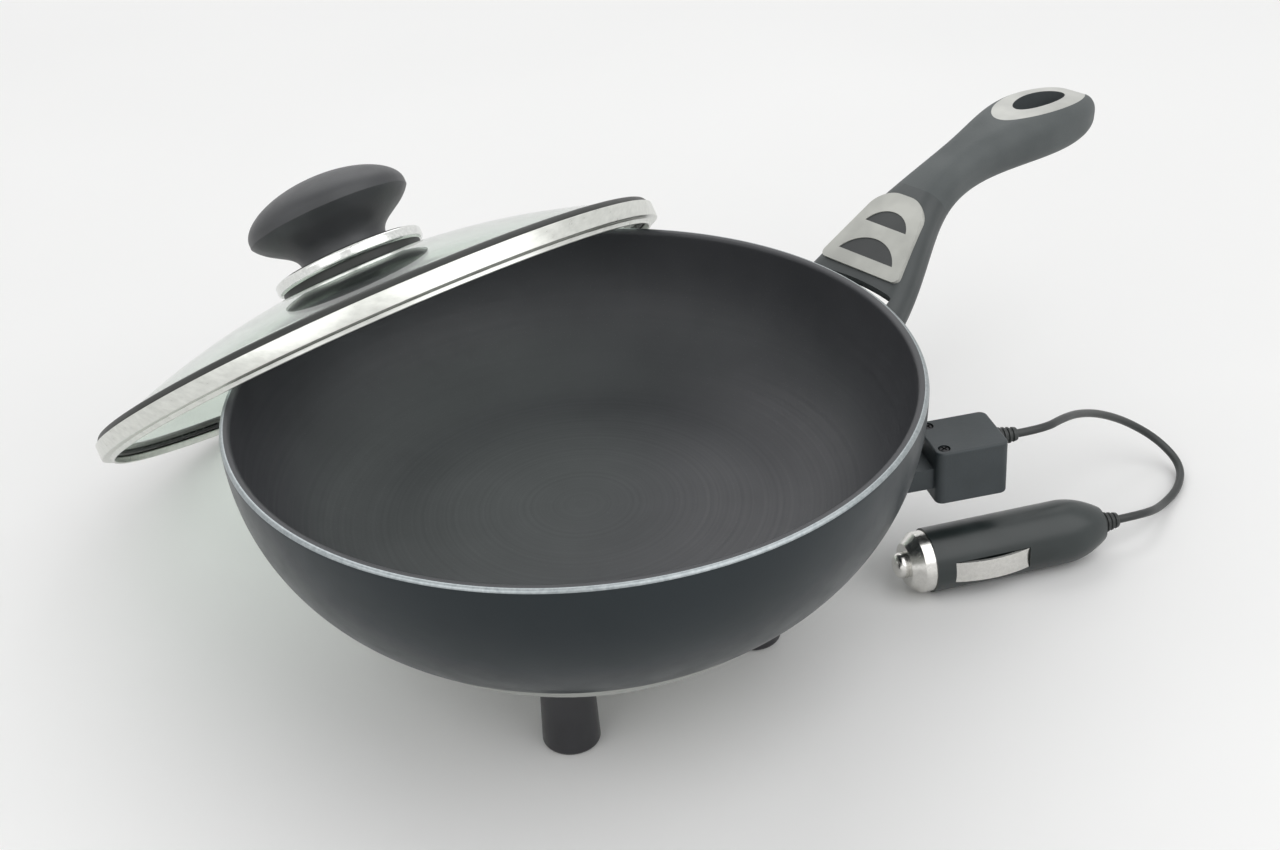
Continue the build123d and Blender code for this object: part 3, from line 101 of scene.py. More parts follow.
class Tree:
    """A small hand on the node tree of a material or of the world."""

    def __init__(self, owner):
        owner.use_nodes = True
        self.owner = owner
        self.nodes = owner.node_tree.nodes
        self.join = owner.node_tree.links.new
        self.shader = self.nodes.get("Principled BSDF")
        self.place = None

    def add(self, kind, **values):
        node = self.nodes.new(kind)
        for key, value in values.items():
            setattr(node, key, value)
        return node

    def coordinates(self):
        if self.place is None:
            self.place = self.add("ShaderNodeTexCoord").outputs["Object"]
        return self.place

    def stretch(self, scale):
        node = self.add("ShaderNodeMapping")
        self.join(self.coordinates(), node.inputs["Vector"])
        node.inputs["Scale"].default_value = scale
        return node.outputs["Vector"]

    def length(self, vector):
        node = self.add("ShaderNodeVectorMath", operation="LENGTH")
        self.join(vector, node.inputs[0])
        return node.outputs["Value"]

    def noise(self, scale, detail, rough=0.55, vector=None):
        node = self.add("ShaderNodeTexNoise")
        node.inputs["Scale"].default_value = scale
        node.inputs["Detail"].default_value = detail
        node.inputs["Roughness"].default_value = rough
        self.join(vector or self.coordinates(), node.inputs["Vector"])
        return node.outputs["Fac"]

    def turns(self, scale):
        """Noise that runs in rings round the bowl's axis, as a spun or machined sheet has."""
        node = self.add("ShaderNodeTexNoise", noise_dimensions="1D")
        node.inputs["Scale"].default_value = scale
        node.inputs["Detail"].default_value = TURNS_DETAIL
        self.join(self.length(self.stretch(FLAT)), node.inputs["W"])
        return node.outputs["Fac"]

    def facing(self, axis):
        """How far the surface faces along an axis of the object, from -1 to 1."""
        normal = self.add("ShaderNodeTexCoord").outputs["Normal"]
        node = self.add("ShaderNodeVectorMath", operation="DOT_PRODUCT")
        node.inputs[1].default_value = axis
        self.join(normal, node.inputs[0])
        return node.outputs["Value"]

    def flecks(self, scale, widest, full, strength):
        """Spots round the centres of small cells: none beyond widest, whole within full."""
        node = self.add("ShaderNodeTexVoronoi")
        node.inputs["Scale"].default_value = scale
        self.join(self.coordinates(), node.inputs["Vector"])
        return self.math("MULTIPLY", self.remap(node.outputs["Distance"], (widest, full)), strength)

    def remap(self, value, span, low=0.0, high=1.0):
        """A value's span, stretched to run from low to high."""
        node = self.add("ShaderNodeMapRange")
        node.inputs["From Min"].default_value, node.inputs["From Max"].default_value = span
        node.inputs["To Min"].default_value = low
        node.inputs["To Max"].default_value = high
        self.join(value, node.inputs["Value"])
        return node.outputs["Result"]

    def math(self, operation, first, second):
        node = self.add("ShaderNodeMath", operation=operation)
        for socket, value in zip(node.inputs, (first, second)):
            if isinstance(value, float):
                socket.default_value = value
            else:
                self.join(value, socket)
        return node.outputs["Value"]

    def blend(self, factor, first, second):
        node = self.add("ShaderNodeMix", data_type="RGBA")
        self.join(factor, node.inputs["Factor"])
        for socket, value in ((node.inputs[6], first), (node.inputs[7], second)):
            if isinstance(value, tuple):
                socket.default_value = (*value, 1.0)
            else:
                self.join(value, socket)
        return node.outputs[2]

    def drift(self, value, dark, light, span=WIDE):
        """A colour that drifts from dark to light with a noise."""
        return self.blend(self.remap(value, span), dark, light)

    def colour(self, source):
        self.join(source, self.shader.inputs["Base Color"])

    def rough(self, source):
        self.join(source, self.shader.inputs["Roughness"])

    def bump(self, height, distance):
        """Relief, over any relief that the shader has already."""
        node = self.add("ShaderNodeBump")
        node.inputs["Distance"].default_value = distance
        self.join(height, node.inputs["Height"])
        normal = self.shader.inputs["Normal"]
        if normal.is_linked:
            self.join(normal.links[0].from_socket, node.inputs["Normal"])
        self.join(node.outputs["Normal"], normal)

    def set(self, **values):
        for key, value in values.items():
            self.shader.inputs[key.replace("_", " ")].default_value = value

    def seen_rays(self):
        """One for the rays that show the background: the camera's, and those in metal and glass."""
        path = self.add("ShaderNodeLightPath")
        total = path.outputs["Is Camera Ray"]
        for kind in ("Is Glossy Ray", "Is Transmission Ray"):
            total = self.math("MAXIMUM", total, path.outputs[kind])
        return total

    def finish_mixed(self, output, factor, first, second):
        """The output's surface goes from the first shader to the second with a factor."""
        node = self.add("ShaderNodeMixShader")
        for socket, source in zip(node.inputs, (factor, first.outputs[0], second.outputs[0])):
            self.join(source, socket)
        self.join(node.outputs[0], self.nodes[output].inputs["Surface"])


def new_material(name):
    return Tree(bpy.data.materials.new(name))


# ---------------------------------------------------------------- materials
# Moulded pieces: the scale of their slow drift of colour, and how far their roughness strays.
MOTTLE = 60.0
MOULDED_GLOSS = 0.05
COAT_ROUGHNESS = 0.2

# The span of a noise that shows as handling marks on the spun sheet.
MARKS = (0.45, 0.75)

GLASS_GREEN = (0.755, 0.840, 0.770, 1.0)
GLASS_SHADOW = (0.865, 0.875, 0.865, 1.0)

# The hanging ring: the colour of the painted shade down its hole, and how far up a surface faces
# where the silver paint comes in.
RING_HOLE_SHADE = (0.085, 0.095, 0.100)
RING_SHADE_FACING = (0.45, 0.60)

# Plastics, rubbers and paint: dark and light colour, roughness, scale and depth of the grain, coat.
MOULDED = {
    "foot_plastic": ((0.019, 0.019, 0.022), (0.028, 0.028, 0.032), 0.36, 1100.0, 0.000004, 0.08),
    "box_plastic": ((0.026, 0.034, 0.038), (0.040, 0.050, 0.055), 0.46, 1100.0, 0.00005, 0.0),
    "plug_plastic": ((0.014, 0.020, 0.020), (0.023, 0.031, 0.031), 0.36, 900.0, 0.00003, 0.1),
    "cord_rubber": ((0.020, 0.023, 0.023), (0.036, 0.040, 0.039), 0.42, 1500.0, 0.00003, 0.0),
    "core_plastic": ((0.040, 0.047, 0.048), (0.058, 0.066, 0.067), 0.46, 1300.0, 0.00004, 0.0),
    "handle_rubber": ((0.064, 0.074, 0.075), (0.092, 0.103, 0.104), 0.60, 1700.0, 0.00008, 0.0),
    "insert_rubber": ((0.026, 0.029, 0.030), (0.042, 0.046, 0.046), 0.50, 1500.0, 0.00005, 0.0),
    "knob_plastic": ((0.040, 0.042, 0.045), (0.056, 0.058, 0.062), 0.46, 1200.0, 0.00004, 0.0),
    "seal_rubber": ((0.014, 0.016, 0.014), (0.024, 0.026, 0.024), 0.50, 1200.0, 0.00003, 0.0),
    "silver_paint": ((0.42, 0.425, 0.395), (0.56, 0.565, 0.525), 0.36, 1600.0, 0.00002, 0.0),
    # The hanging ring's silver paint; its hole gets a painted shade further on.
    "ring_paint_hole_shade": ((0.44, 0.445, 0.42), (0.58, 0.585, 0.55), 0.36, 1600.0, 0.00002, 0.0),
    "strip_plastic": ((0.50, 0.47, 0.40), (0.66, 0.62, 0.54), 0.55, 1400.0, 0.00003, 0.0),
    "board_fibre": ((0.55, 0.52, 0.46), (0.75, 0.72, 0.66), 0.85, 600.0, 0.0002, 0.0),
    "phenolic": ((0.06, 0.045, 0.035), (0.10, 0.08, 0.06), 0.50, 1400.0, 0.00003, 0.0),
    "lead_sleeve": ((0.50, 0.47, 0.42), (0.70, 0.67, 0.60), 0.70, 2500.0, 0.0001, 0.0),
}

# Metals: dark and light colour, roughness and its spread, stretch, scale and depth of the grain.
EVEN = (1.0, 1.0, 1.0)
DRAWN = (1.0, 0.2, 1.0)
ROLLED = (0.3, 0.3, 1.0)
METALS = {
    "bare_rim": ((0.26, 0.29, 0.30), (0.40, 0.43, 0.44), 0.36, 0.12, EVEN, 900.0, 0.000002),
    "fixing_steel": ((0.42, 0.42, 0.42), (0.60, 0.60, 0.60), 0.32, 0.12, EVEN, 900.0, 0.00001),
    "black_steel": ((0.030, 0.030, 0.032), (0.060, 0.060, 0.063), 0.42, 0.12, EVEN, 900.0, 0.00001),
    "heater_steel": ((0.18, 0.16, 0.15), (0.30, 0.28, 0.26), 0.50, 0.12, EVEN, 900.0, 0.00001),
    "spreader_metal": ((0.62, 0.62, 0.63), (0.78, 0.78, 0.79), 0.40, 0.12, EVEN, 900.0, 0.00001),
    "nickel_plate": ((0.66, 0.65, 0.62), (0.80, 0.79, 0.76), 0.22, 0.12, EVEN, 900.0, 0.000003),
    "bracket_metal": ((0.66, 0.66, 0.65), (0.82, 0.82, 0.81), 0.34, 0.12, DRAWN, 900.0, 0.00001),
    "lid_band_steel": ((0.60, 0.61, 0.575), (0.74, 0.75, 0.71), 0.30, 0.06, ROLLED, 700.0, 0.000003),
    "knob_chrome": ((0.68, 0.69, 0.67), (0.80, 0.81, 0.79), 0.16, 0.05, EVEN, 900.0, 0.000002),
}


def make_moulded(name, dark, light, rough, grain, depth, coat):
    """Moulded plastic or rubber: a fine grain, a slow drift of colour and uneven gloss."""
    tree = new_material(name)
    tree.colour(tree.drift(tree.noise(scale=MOTTLE, detail=3.0), dark, light, NARROW))
    gloss = tree.noise(scale=MOTTLE * 4, detail=5.0)
    tree.rough(tree.remap(gloss, WIDE, rough - MOULDED_GLOSS, rough + MOULDED_GLOSS))
    tree.bump(tree.noise(scale=grain, detail=3.0), depth)
    tree.set(Coat_Weight=coat, Coat_Roughness=COAT_ROUGHNESS)
    return tree


def make_metal(name, dark, light, rough, spread, stretch, grain, depth):
    """Metal with a fine grain, drawn out along the axes where its stretch is below one."""
    tree = new_material(name)
    lines = tree.noise(scale=grain, detail=5.0, rough=0.6, vector=tree.stretch(stretch))
    tree.colour(tree.drift(lines, dark, light))
    tree.rough(tree.remap(lines, WIDE, rough - spread / 2, rough + spread / 2))
    tree.bump(lines, depth)
    tree.set(Metallic=1.0)
    return tree


def make_coating_outside():
    """Charcoal lacquer: a smooth gloss with faint orange peel and fine metal flecks."""
    tree = new_material("charcoal_coating")
    slow = tree.noise(scale=16.0, detail=3.0)
    body = tree.drift(slow, dark=(0.0088, 0.0148, 0.0182), light=(0.0148, 0.0222, 0.0265))
    flecks = tree.flecks(scale=1500.0, widest=0.10, full=0.03, strength=0.5)
    tree.colour(tree.blend(flecks, body, (0.050, 0.072, 0.084)))
    tree.rough(tree.remap(tree.noise(scale=120.0, detail=4.0), WIDE, low=0.30, high=0.38))
    tree.bump(tree.noise(scale=1100.0, detail=3.0), distance=0.000012)
    tree.set(Specular_IOR_Level=0.28, Coat_Weight=0.04, Coat_Roughness=0.12)
    return tree


def make_coating_inside():
    """Black non-stick coating over a turned floor: faint rings, fine speckle and grain."""
    tree = new_material("nonstick_coating")
    slow = tree.noise(scale=20.0, detail=3.0)
    body = tree.drift(slow, dark=(0.0400, 0.0412, 0.0455), light=(0.0560, 0.0575, 0.0625))
    flecks = tree.flecks(scale=900.0, widest=0.12, full=0.05, strength=0.4)
    tree.colour(tree.blend(flecks, body, (0.14, 0.14, 0.147)))
    rings = tree.turns(scale=900.0)
    tree.rough(tree.remap(rings, WIDE, low=0.40, high=0.52))
    tree.bump(rings, distance=0.00001)
    tree.bump(tree.noise(scale=1300.0, detail=4.0), distance=0.00002)
    tree.set(Specular_IOR_Level=0.35)
    return tree


def make_glass():
    """Tempered glass with the faint green of its thickness. It lets light by, for a pale shadow."""
    tree = new_material("lid_clear_glass")
    tree.set(Base_Color=GLASS_GREEN, Transmission_Weight=1.0, IOR=1.5)
    tree.rough(tree.remap(tree.noise(scale=40.0, detail=3.0), NARROW, low=0.01, high=0.04))
    tree.bump(tree.noise(scale=18.0, detail=1.0), distance=0.00002)
    light = tree.add("ShaderNodeLightPath")
    clear = tree.add("ShaderNodeBsdfTransparent")
    clear.inputs["Color"].default_value = GLASS_SHADOW
    tree.finish_mixed("Material Output", light.outputs["Is Shadow Ray"], tree.shader, clear)
    return tree


def make_base_metal():
    """The cover's sheet, spun about the bowl's axis: rings and a few faint handling marks."""
    tree = new_material("base_metal")
    rings = tree.turns(scale=1600.0)
    tree.colour(tree.drift(rings, dark=(0.42, 0.43, 0.41), light=(0.60, 0.61, 0.585)))
    gloss = tree.remap(rings, WIDE, low=0.31, high=0.41)
    marks = tree.remap(tree.noise(scale=35.0, detail=6.0, rough=0.7), MARKS, high=0.12)
    tree.rough(tree.math("ADD", gloss, marks))
    tree.bump(rings, distance=0.000008)
    tree.set(Metallic=1.0)
    return tree


def paint_ring_and_hole_shade(tree):
    """The hanging ring: silver paint on its face, and a dark painted shade down its hole, by how far
    each surface faces up.
    """
    face = tree.remap(tree.facing(UP), RING_SHADE_FACING)
    painted = tree.shader.inputs["Base Color"].links[0].from_socket
    tree.colour(tree.blend(face, RING_HOLE_SHADE, painted))


def make_materials():
    """All materials by name. The frame has some of these names, so Blender may number its own."""
    made = {
        "charcoal_coating": make_coating_outside(),
        "nonstick_coating": make_coating_inside(),
        "lid_clear_glass": make_glass(),
        "base_metal": make_base_metal(),
    }
    for name, look in METALS.items():
        made[name] = make_metal(name, *look)
    for name, look in MOULDED.items():
        made[name] = make_moulded(name, *look)
    paint_ring_and_hole_shade(made["ring_paint_hole_shade"])
    return {name: tree.owner for name, tree in made.items()}


looks = make_materials()

NODE_LOOKS = {
    "pan_body": "charcoal_coating",
    "bottom_cover": "base_metal",
    "foot_1": "foot_plastic",
    "foot_2": "foot_plastic",
    "foot_3": "foot_plastic",
    "foot_4": "foot_plastic",
    "foot_screws": "fixing_steel",
    "heating_element": "heater_steel",
    "heat_spreader": "spreader_metal",
    "insulation_disc": "board_fibre",
    "thermostat": "phenolic",
    "live_lead": "lead_sleeve",
    "return_lead": "lead_sleeve",
    "jumper_lead": "lead_sleeve",
    "terminal_box": "box_plastic",
    "box_cover": "box_plastic",
    "box_screws": "black_steel",
    "terminal_strip": "strip_plastic",
    "strip_screws": "fixing_steel",
    "cord_bushing": "cord_rubber",
    "plug_shell_top": "plug_plastic",
    "plug_shell_bottom": "plug_plastic",
    "plug_sleeve": "cord_rubber",
    "rear_contact": "nickel_plate",
    "contact_spring": "nickel_plate",
    "fuse": "nickel_plate",
    "tip_pin": "nickel_plate",
    "nose_ring": "nickel_plate",
    "side_contact_left": "nickel_plate",
    "side_contact_right": "nickel_plate",
    "handle_bracket": "bracket_metal",
    "handle_core": "core_plastic",
    "handle_grip": "handle_rubber",
    "handle_inlay": "silver_paint",
    "inlay_inserts": "insert_rubber",
    "hang_ring": "ring_paint_hole_shade",
    "handle_screw": "fixing_steel",
    "lid_glass": "lid_clear_glass",
    "lid_band": "lid_band_steel",
    "lid_seal": "seal_rubber",
    "knob_gasket": "seal_rubber",
    "knob_base": "knob_chrome",
    "knob": "knob_plastic",
    "knob_washer": "seal_rubber",
    "knob_screw": "fixing_steel",
}
for node_name, look_name in NODE_LOOKS.items():
    node_mesh = nodes[node_name].data
    node_mesh.materials.clear()
    node_mesh.materials.append(looks[look_name])

# ---------------------------------------------------------------- turned pieces
SMOOTH_ANGLE = math.radians(38)
CORNER_STEPS = 4
CORNER_SHARE = 0.45
TINY = 1e-7

# Segments round a turned piece.
FINE, MEDIUM, SMALL = 256, 160, 64


def bezier(points, steps):
    """Points along a Bezier curve of any order, its ends included."""
    curve = []
    for step in range(steps + 1):
        t = step / steps
        level = [Vector(point) for point in points]
        while len(level) > 1:
            level = [a.lerp(b, t) for a, b in zip(level, level[1:])]
        curve.append(tuple(level[0]))
    return curve


def rounded(corners, radius):
    """A closed profile with each corner rounded."""
    curve = []
    count = len(corners)
    for index, corner in enumerate(corners):
        here = Vector(corner)
        before = Vector(corners[index - 1]) - here
        after = Vector(corners[(index + 1) % count]) - here
        pull = min(radius, before.length * CORNER_SHARE, after.length * CORNER_SHARE)
        start = here + before.normalized() * pull
        end = here + after.normalized() * pull
        for step in range(CORNER_STEPS + 1):
            t = step / CORNER_STEPS
            curve.append(tuple(start.lerp(here, t).lerp(here.lerp(end, t), t)))
    return curve + [curve[0]]


def turned(name, loops, place, segments):
    """A closed turned piece. loops is a list of (points, look); each point is radius and height."""
    mesh = bpy.data.meshes.new(name)
    body = bmesh.new()
    profile = []
    skins = []
    for number, (points, look) in enumerate(loops):
        mesh.materials.append(looks[look])
        profile += points[1:] if profile else points
        skins += [number] * (len(points) - 1)
    closed = (Vector(profile[0]) - Vector(profile[-1])).length < TINY
    if closed:
        profile = profile[:-1]
    rings = []
    for radius, height in profile:
        if radius < TINY:
            rings.append([body.verts.new((0, 0, height))])
            continue
        ring = []
        for step in range(segments):
            angle = 2 * math.pi * step / segments
            ring.append(body.verts.new((radius * math.cos(angle), radius * math.sin(angle), height)))
        rings.append(ring)
    count = len(rings)
    for index in range(count if closed else count - 1):
        low, high = rings[index], rings[(index + 1) % count]
        if len(low) == 1 and len(high) == 1:
            continue
        for step in range(segments):
            after = (step + 1) % segments
            if len(low) == 1:
                corners = (low[0], high[step], high[after])
            elif len(high) == 1:
                corners = (low[step], high[0], low[after])
            else:
                corners = (low[step], high[step], high[after], low[after])
            face = body.faces.new(corners)
            face.material_index = skins[index]
            face.smooth = True
    bmesh.ops.recalc_face_normals(body, faces=body.faces)
    body.to_mesh(mesh)
    body.free()
    mesh.transform(place)
    mesh.set_sharp_from_angle(angle=SMOOTH_ANGLE)
    return add_object(name, mesh)


def along(start, direction):
    """A place at a point, with its z axis along a direction."""
    turn = direction.to_track_quat("Z", "Y").to_matrix().to_4x4()
    return Matrix.Translation(start) @ turn


def dress(piece, body, node):
    """Ride a piece on a body and in place of its node."""
    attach(piece, body)
    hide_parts(node)


# ---------------------------------------------------------------- bowl
# Radii and heights. The outside and the inside are Bezier curves up to the rim's rounded edges.
OUTSIDE = [(0.0705, 0.034), (0.088, 0.0455), (0.100, 0.064), (0.100, 0.089)]
INSIDE = [(0.0968, 0.089), (0.0968, 0.060), (0.080, 0.047), (0.056, 0.047)]
WALL_STEPS = 40
RIM_OUTSIDE = 0.100
RIM_INSIDE = 0.0968
RIM_EDGE = 0.0012
RIM_STEPS = 6
FLOOR_HEIGHT = 0.047
FLOOR_RADII = (0.050, 0.030, 0.012, 0.0)
RECESS = [(0.0, 0.0435), (0.0755, 0.0435), (0.0671, 0.034)]


def rim_edge(middle, first):
    """A quarter round of the rim's edge, from its first angle in degrees."""
    curve = []
    for step in range(RIM_STEPS + 1):
        turn = math.radians(first + 90 * step / RIM_STEPS)
        height = RIM_HEIGHT - RIM_EDGE + RIM_EDGE * math.sin(turn)
        curve.append((middle + RIM_EDGE * math.cos(turn), height))
    return curve


def make_bowl():
    """The bowl, with a bare line of metal round the top of its rim."""
    shoulder = RIM_HEIGHT - RIM_EDGE
    outside = [point for point in bezier(OUTSIDE, WALL_STEPS) if point[1] < shoulder]
    inside = [point for point in bezier(INSIDE, WALL_STEPS) if point[1] < shoulder]
    lip = rim_edge(RIM_OUTSIDE - RIM_EDGE, 0) + rim_edge(RIM_INSIDE + RIM_EDGE, 90)
    coated = outside + lip[:2]
    bare = lip[1:RIM_STEPS + 1]
    floor = lip[RIM_STEPS:] + inside + [(radius, FLOOR_HEIGHT) for radius in FLOOR_RADII]
    under = [floor[-1]] + RECESS + [outside[0]]
    skins = [
        (coated, "charcoal_coating"),
        (bare, "bare_rim"),
        (floor, "nonstick_coating"),
        (under, "base_metal"),
    ]
    piece = turned("bowl", skins, Matrix.Identity(4), FINE)
    dress(piece, PAN, "pan_body")


make_bowl()

# ---------------------------------------------------------------- lid
# The lid leans on the rim. Its own frame has the band's shelf at zero height and the knob upwards.
LID_TILT = math.radians(36.2)
LID_LEAN = heading(math.radians(86.0))
LID_OUT = 0.10888
LID_HEIGHT = 0.05923
LID_CENTRE = LID_LEAN * LID_OUT + UP * LID_HEIGHT
LID_UP = LID_LEAN * math.sin(LID_TILT) + UP * math.cos(LID_TILT)
LID_ACROSS = LID_LEAN.cross(UP)
LID_TURN = Matrix((LID_ACROSS, LID_UP.cross(LID_ACROSS), LID_UP)).transposed().to_4x4()
LID_PLACE = Matrix.Translation(LID_CENTRE) @ LID_TURN
GLASS_SPHERE = 0.243289
GLASS_DEPTH = 0.222789
GLASS_EDGE = 0.0966
GLASS_THICKNESS = 0.004
GLASS_HOLE = 0.0032
GLASS_BEVEL = 0.0006
GLASS_STEPS = 24
SEAL_INSIDE = 0.0942
SEAL_LIP = 0.0006
BAND_CORNER = 0.0005
SEAL_CORNER = 0.0007


def under_glass(radius):
    return radius, math.sqrt(GLASS_SPHERE**2 - radius**2) - GLASS_DEPTH


def over_glass(radius):
    return radius, math.sqrt((GLASS_SPHERE + GLASS_THICKNESS) ** 2 - radius**2) - GLASS_DEPTH


# A rolled band: the sheet is folded in over the seal at its top and down inside the rim below.
BAND_LOOP = [
    (0.0992, -0.0008),
    (0.0992, 0.0045),
    (0.0984, 0.0045),
    (0.0984, 0.0),
    (0.0954, 0.0),
    (0.0954, -0.0024),
    (0.0962, -0.0024),
    (0.0962, -0.0008),
]
SEAL_LOOP = [
    (0.0984, 0.0002),
    (0.0984, 0.0049),
    (0.0974, 0.0065),
    (0.0954, 0.0069),
    (SEAL_INSIDE, over_glass(SEAL_INSIDE)[1] + SEAL_LIP),
    over_glass(SEAL_INSIDE),
    over_glass(GLASS_EDGE),
    under_glass(GLASS_EDGE),
    under_glass(SEAL_INSIDE),
    (SEAL_INSIDE, 0.0002),
]


def make_lid():
    """The lid's dome with bevelled edges, its rolled band and the soft bead of its seal."""
    span = GLASS_EDGE - GLASS_HOLE
    radii = [GLASS_HOLE + span * step / GLASS_STEPS for step in range(GLASS_STEPS)]
    edge = [
        (GLASS_EDGE - GLASS_BEVEL, under_glass(GLASS_EDGE)[1]),
        (GLASS_EDGE, under_glass(GLASS_EDGE)[1] + GLASS_BEVEL),
        (GLASS_EDGE, over_glass(GLASS_EDGE)[1] - GLASS_BEVEL),
    ]
    under = [under_glass(radius) for radius in radii]
    over = [over_glass(radius) for radius in reversed(radii)]
    glass_loop = under + edge + over + [under[0]]
    band_loop = rounded(BAND_LOOP, BAND_CORNER)
    seal_loop = rounded(SEAL_LOOP, SEAL_CORNER)
    glass = turned("lid_dome", [(glass_loop, "lid_clear_glass")], LID_PLACE, MEDIUM)
    band = turned("lid_rolled_band", [(band_loop, "lid_band_steel")], LID_PLACE, FINE)
    seal = turned("lid_seal_bead", [(seal_loop, "seal_rubber")], LID_PLACE, FINE)
    for piece, slot, node in (
        (glass, "lid_glass", "lid_glass"),
        (band, "lid_steel", "lid_band"),
        (seal, "seal_rubber", "lid_seal"),
    ):
        dress(piece, LID, node)


make_lid()

# ---------------------------------------------------------------- screws
# The places of the side box, the feet and the handle, from the CAD source.
BOX_OUT = heading(math.radians(-28.0))
BOX_ACROSS = UP.cross(BOX_OUT)
FOOT_CIRCLE = 0.049
FOOT_ANGLE = 42.0
HANDLE_RISE = math.radians(36.5)
HANDLE_START = Vector((0.1005, 0.0, 0.0567))
HANDLE_ALONG = heading(0.0, HANDLE_RISE)
HANDLE_NORMAL = Vector((-math.sin(HANDLE_RISE), 0.0, math.cos(HANDLE_RISE)))

# A head's outline as shares of its radius and height, and its recess as shares of the same.
HEAD_OUTLINE = ((0.0, 0.0), (0.55, 0.04), (0.85, 0.22), (1.0, 0.55), (1.0, 1.0))
RECESS_LONG, RECESS_WIDE, RECESS_HIGH = 1.15, 0.26, 0.9
SCREW_SEGMENTS = 48

# Each screw: radius and height of its head, radius and length of its shank.
BOX_SCREW = ((0.0019, 0.0015), (0.001, 0.0125))
FOOT_SCREW = ((0.0034, 0.003), (0.002, 0.0255))
HANDLE_SCREW = ((0.0038, 0.0024), (0.002, 0.006))
KNOB_SCREW = ((0.0046, 0.0032), (0.0025, 0.018))
BOX_SCREW_OUT, BOX_SCREW_ASIDE, BOX_SCREW_TOP = 0.1102, 0.0068, 0.0475
FOOT_SCREW_TOP = 0.011
HANDLE_SCREW_ALONG, HANDLE_SCREW_DOWN = 0.0324, 0.0065
KNOB_SCREW_TOP = 0.015668


def cross_screw(name, top, facing, sizes, look):
    """A pan-head screw: its head's top at a point, a cross recess, and a plain shank below."""
    (radius, height), (shank, length) = sizes
    profile = [(radius * out, -height * down) for out, down in HEAD_OUTLINE]
    profile += [(shank, -height), (shank, -height - length), (0.0, -height - length)]
    place = along(top, facing)
    piece = turned(name, [(profile, look)], place, SCREW_SEGMENTS)
    cutter_mesh = bpy.data.meshes.new(name + "_recess")
    cutter = bmesh.new()
    for out, across in ((RECESS_LONG, RECESS_WIDE), (RECESS_WIDE, RECESS_LONG)):
        shape = Matrix.Diagonal((radius * out, radius * across, height * RECESS_HIGH, 1.0))
        bmesh.ops.create_cube(cutter, size=1.0, matrix=place @ shape)
    cutter.to_mesh(cutter_mesh)
    cutter.free()
    tool = add_object(name + "_recess", cutter_mesh)
    cut = piece.modifiers.new("recess", "BOOLEAN")
    cut.object = tool
    cut.operation = "DIFFERENCE"
    cut.use_self = True
    graph = bpy.context.evaluated_depsgraph_get()
    graph.update()
    carved = bpy.data.meshes.new_from_object(piece.evaluated_get(graph))
    piece.modifiers.clear()
    piece.data = carved
    bpy.data.objects.remove(tool)
    return piece


def make_screws():
    for number, side in enumerate((BOX_SCREW_ASIDE, -BOX_SCREW_ASIDE), 1):
        top = BOX_OUT * BOX_SCREW_OUT + BOX_ACROSS * side + UP * BOX_SCREW_TOP
        screw = cross_screw(f"box_screw_{number}", top, UP, BOX_SCREW, "black_steel")
        dress(screw, PAN, "box_screws")
    for number in range(4):
        turn = math.radians(FOOT_ANGLE + 90.0 * number)
        top = heading(turn) * FOOT_CIRCLE + UP * FOOT_SCREW_TOP
        screw = cross_screw(f"foot_screw_{number + 1}", top, -UP, FOOT_SCREW, "fixing_steel")
        dress(screw, PAN, "foot_screws")
    top = HANDLE_START + HANDLE_ALONG * HANDLE_SCREW_ALONG - HANDLE_NORMAL * HANDLE_SCREW_DOWN
    screw = cross_screw("handle_fixing", top, -HANDLE_NORMAL, HANDLE_SCREW, "fixing_steel")
    dress(screw, PAN, "handle_screw")
    top = LID_CENTRE + LID_UP * KNOB_SCREW_TOP
    screw = cross_screw("knob_fixing", top, -LID_UP, KNOB_SCREW, "fixing_steel")
    dress(screw, LID, "knob_screw")


make_screws()

# ---------------------------------------------------------------- strain reliefs
# A rib and its groove: shares of its length, and of the groove's depth at each.
RIB_OUTLINE = ((0.12, 1.0), (0.45, 1.0), (0.62, 0.0), (0.95, 0.0))
RIBS_FROM, RIBS_TO = 0.14, 0.90
TIP_CHAMFER, TIP_NARROWS = 0.97, 0.92

# Each relief: the neck inside its housing, then length, radius at root and tip, ribs, groove depth.
BUSHING_NECK = [(0.0, -0.0012), (0.0027, -0.0012), (0.0027, 0.0)]
BUSHING = (0.008, 0.0034, 0.0021, 4, 0.00045)
BUSHING_START = BOX_OUT * 0.13 + BOX_ACROSS * 0.0036 + UP * 0.041
SLEEVE_NECK = [(0.0, -0.0006), (0.0036, -0.0006)]
SLEEVE = (0.006, 0.0036, 0.0023, 3, 0.0004)
PLUG_FORWARD = heading(math.radians(153.5))
SLEEVE_START = Vector((0.1444, -0.0860, 0.010)) + PLUG_FORWARD * SLEEVE[0]


def strain_relief(name, neck, sizes, place):
    """A tapering sleeve with soft ribs, from its neck to its chamfered tip."""
    length, root, tip, ribs, depth = sizes
    curve = neck + [(root, 0.0), (root, length * RIBS_FROM)]
    for rib in range(ribs):
        for share, sunk in RIB_OUTLINE:
            height = length * (RIBS_FROM + (RIBS_TO - RIBS_FROM) * (rib + share) / ribs)
            radius = root + (tip - root) * height / length
            curve.append((radius - depth * sunk, height))
    curve += [(tip, length * TIP_CHAMFER), (tip * TIP_NARROWS, length), (0.0, length)]
    return turned(name, [(curve, "cord_rubber")], place, SMALL)


def make_strain_reliefs():
    """Both strain reliefs. The plug's is returned."""
    bushing = strain_relief("ribbed_bushing", BUSHING_NECK, BUSHING, along(BUSHING_START, BOX_OUT))
    dress(bushing, PAN, "cord_bushing")
    sleeve = strain_relief("ribbed_sleeve", SLEEVE_NECK, SLEEVE, along(SLEEVE_START, -PLUG_FORWARD))
    dress(sleeve, PAN, "plug_sleeve")
    return sleeve


plug_sleeve = make_strain_reliefs()

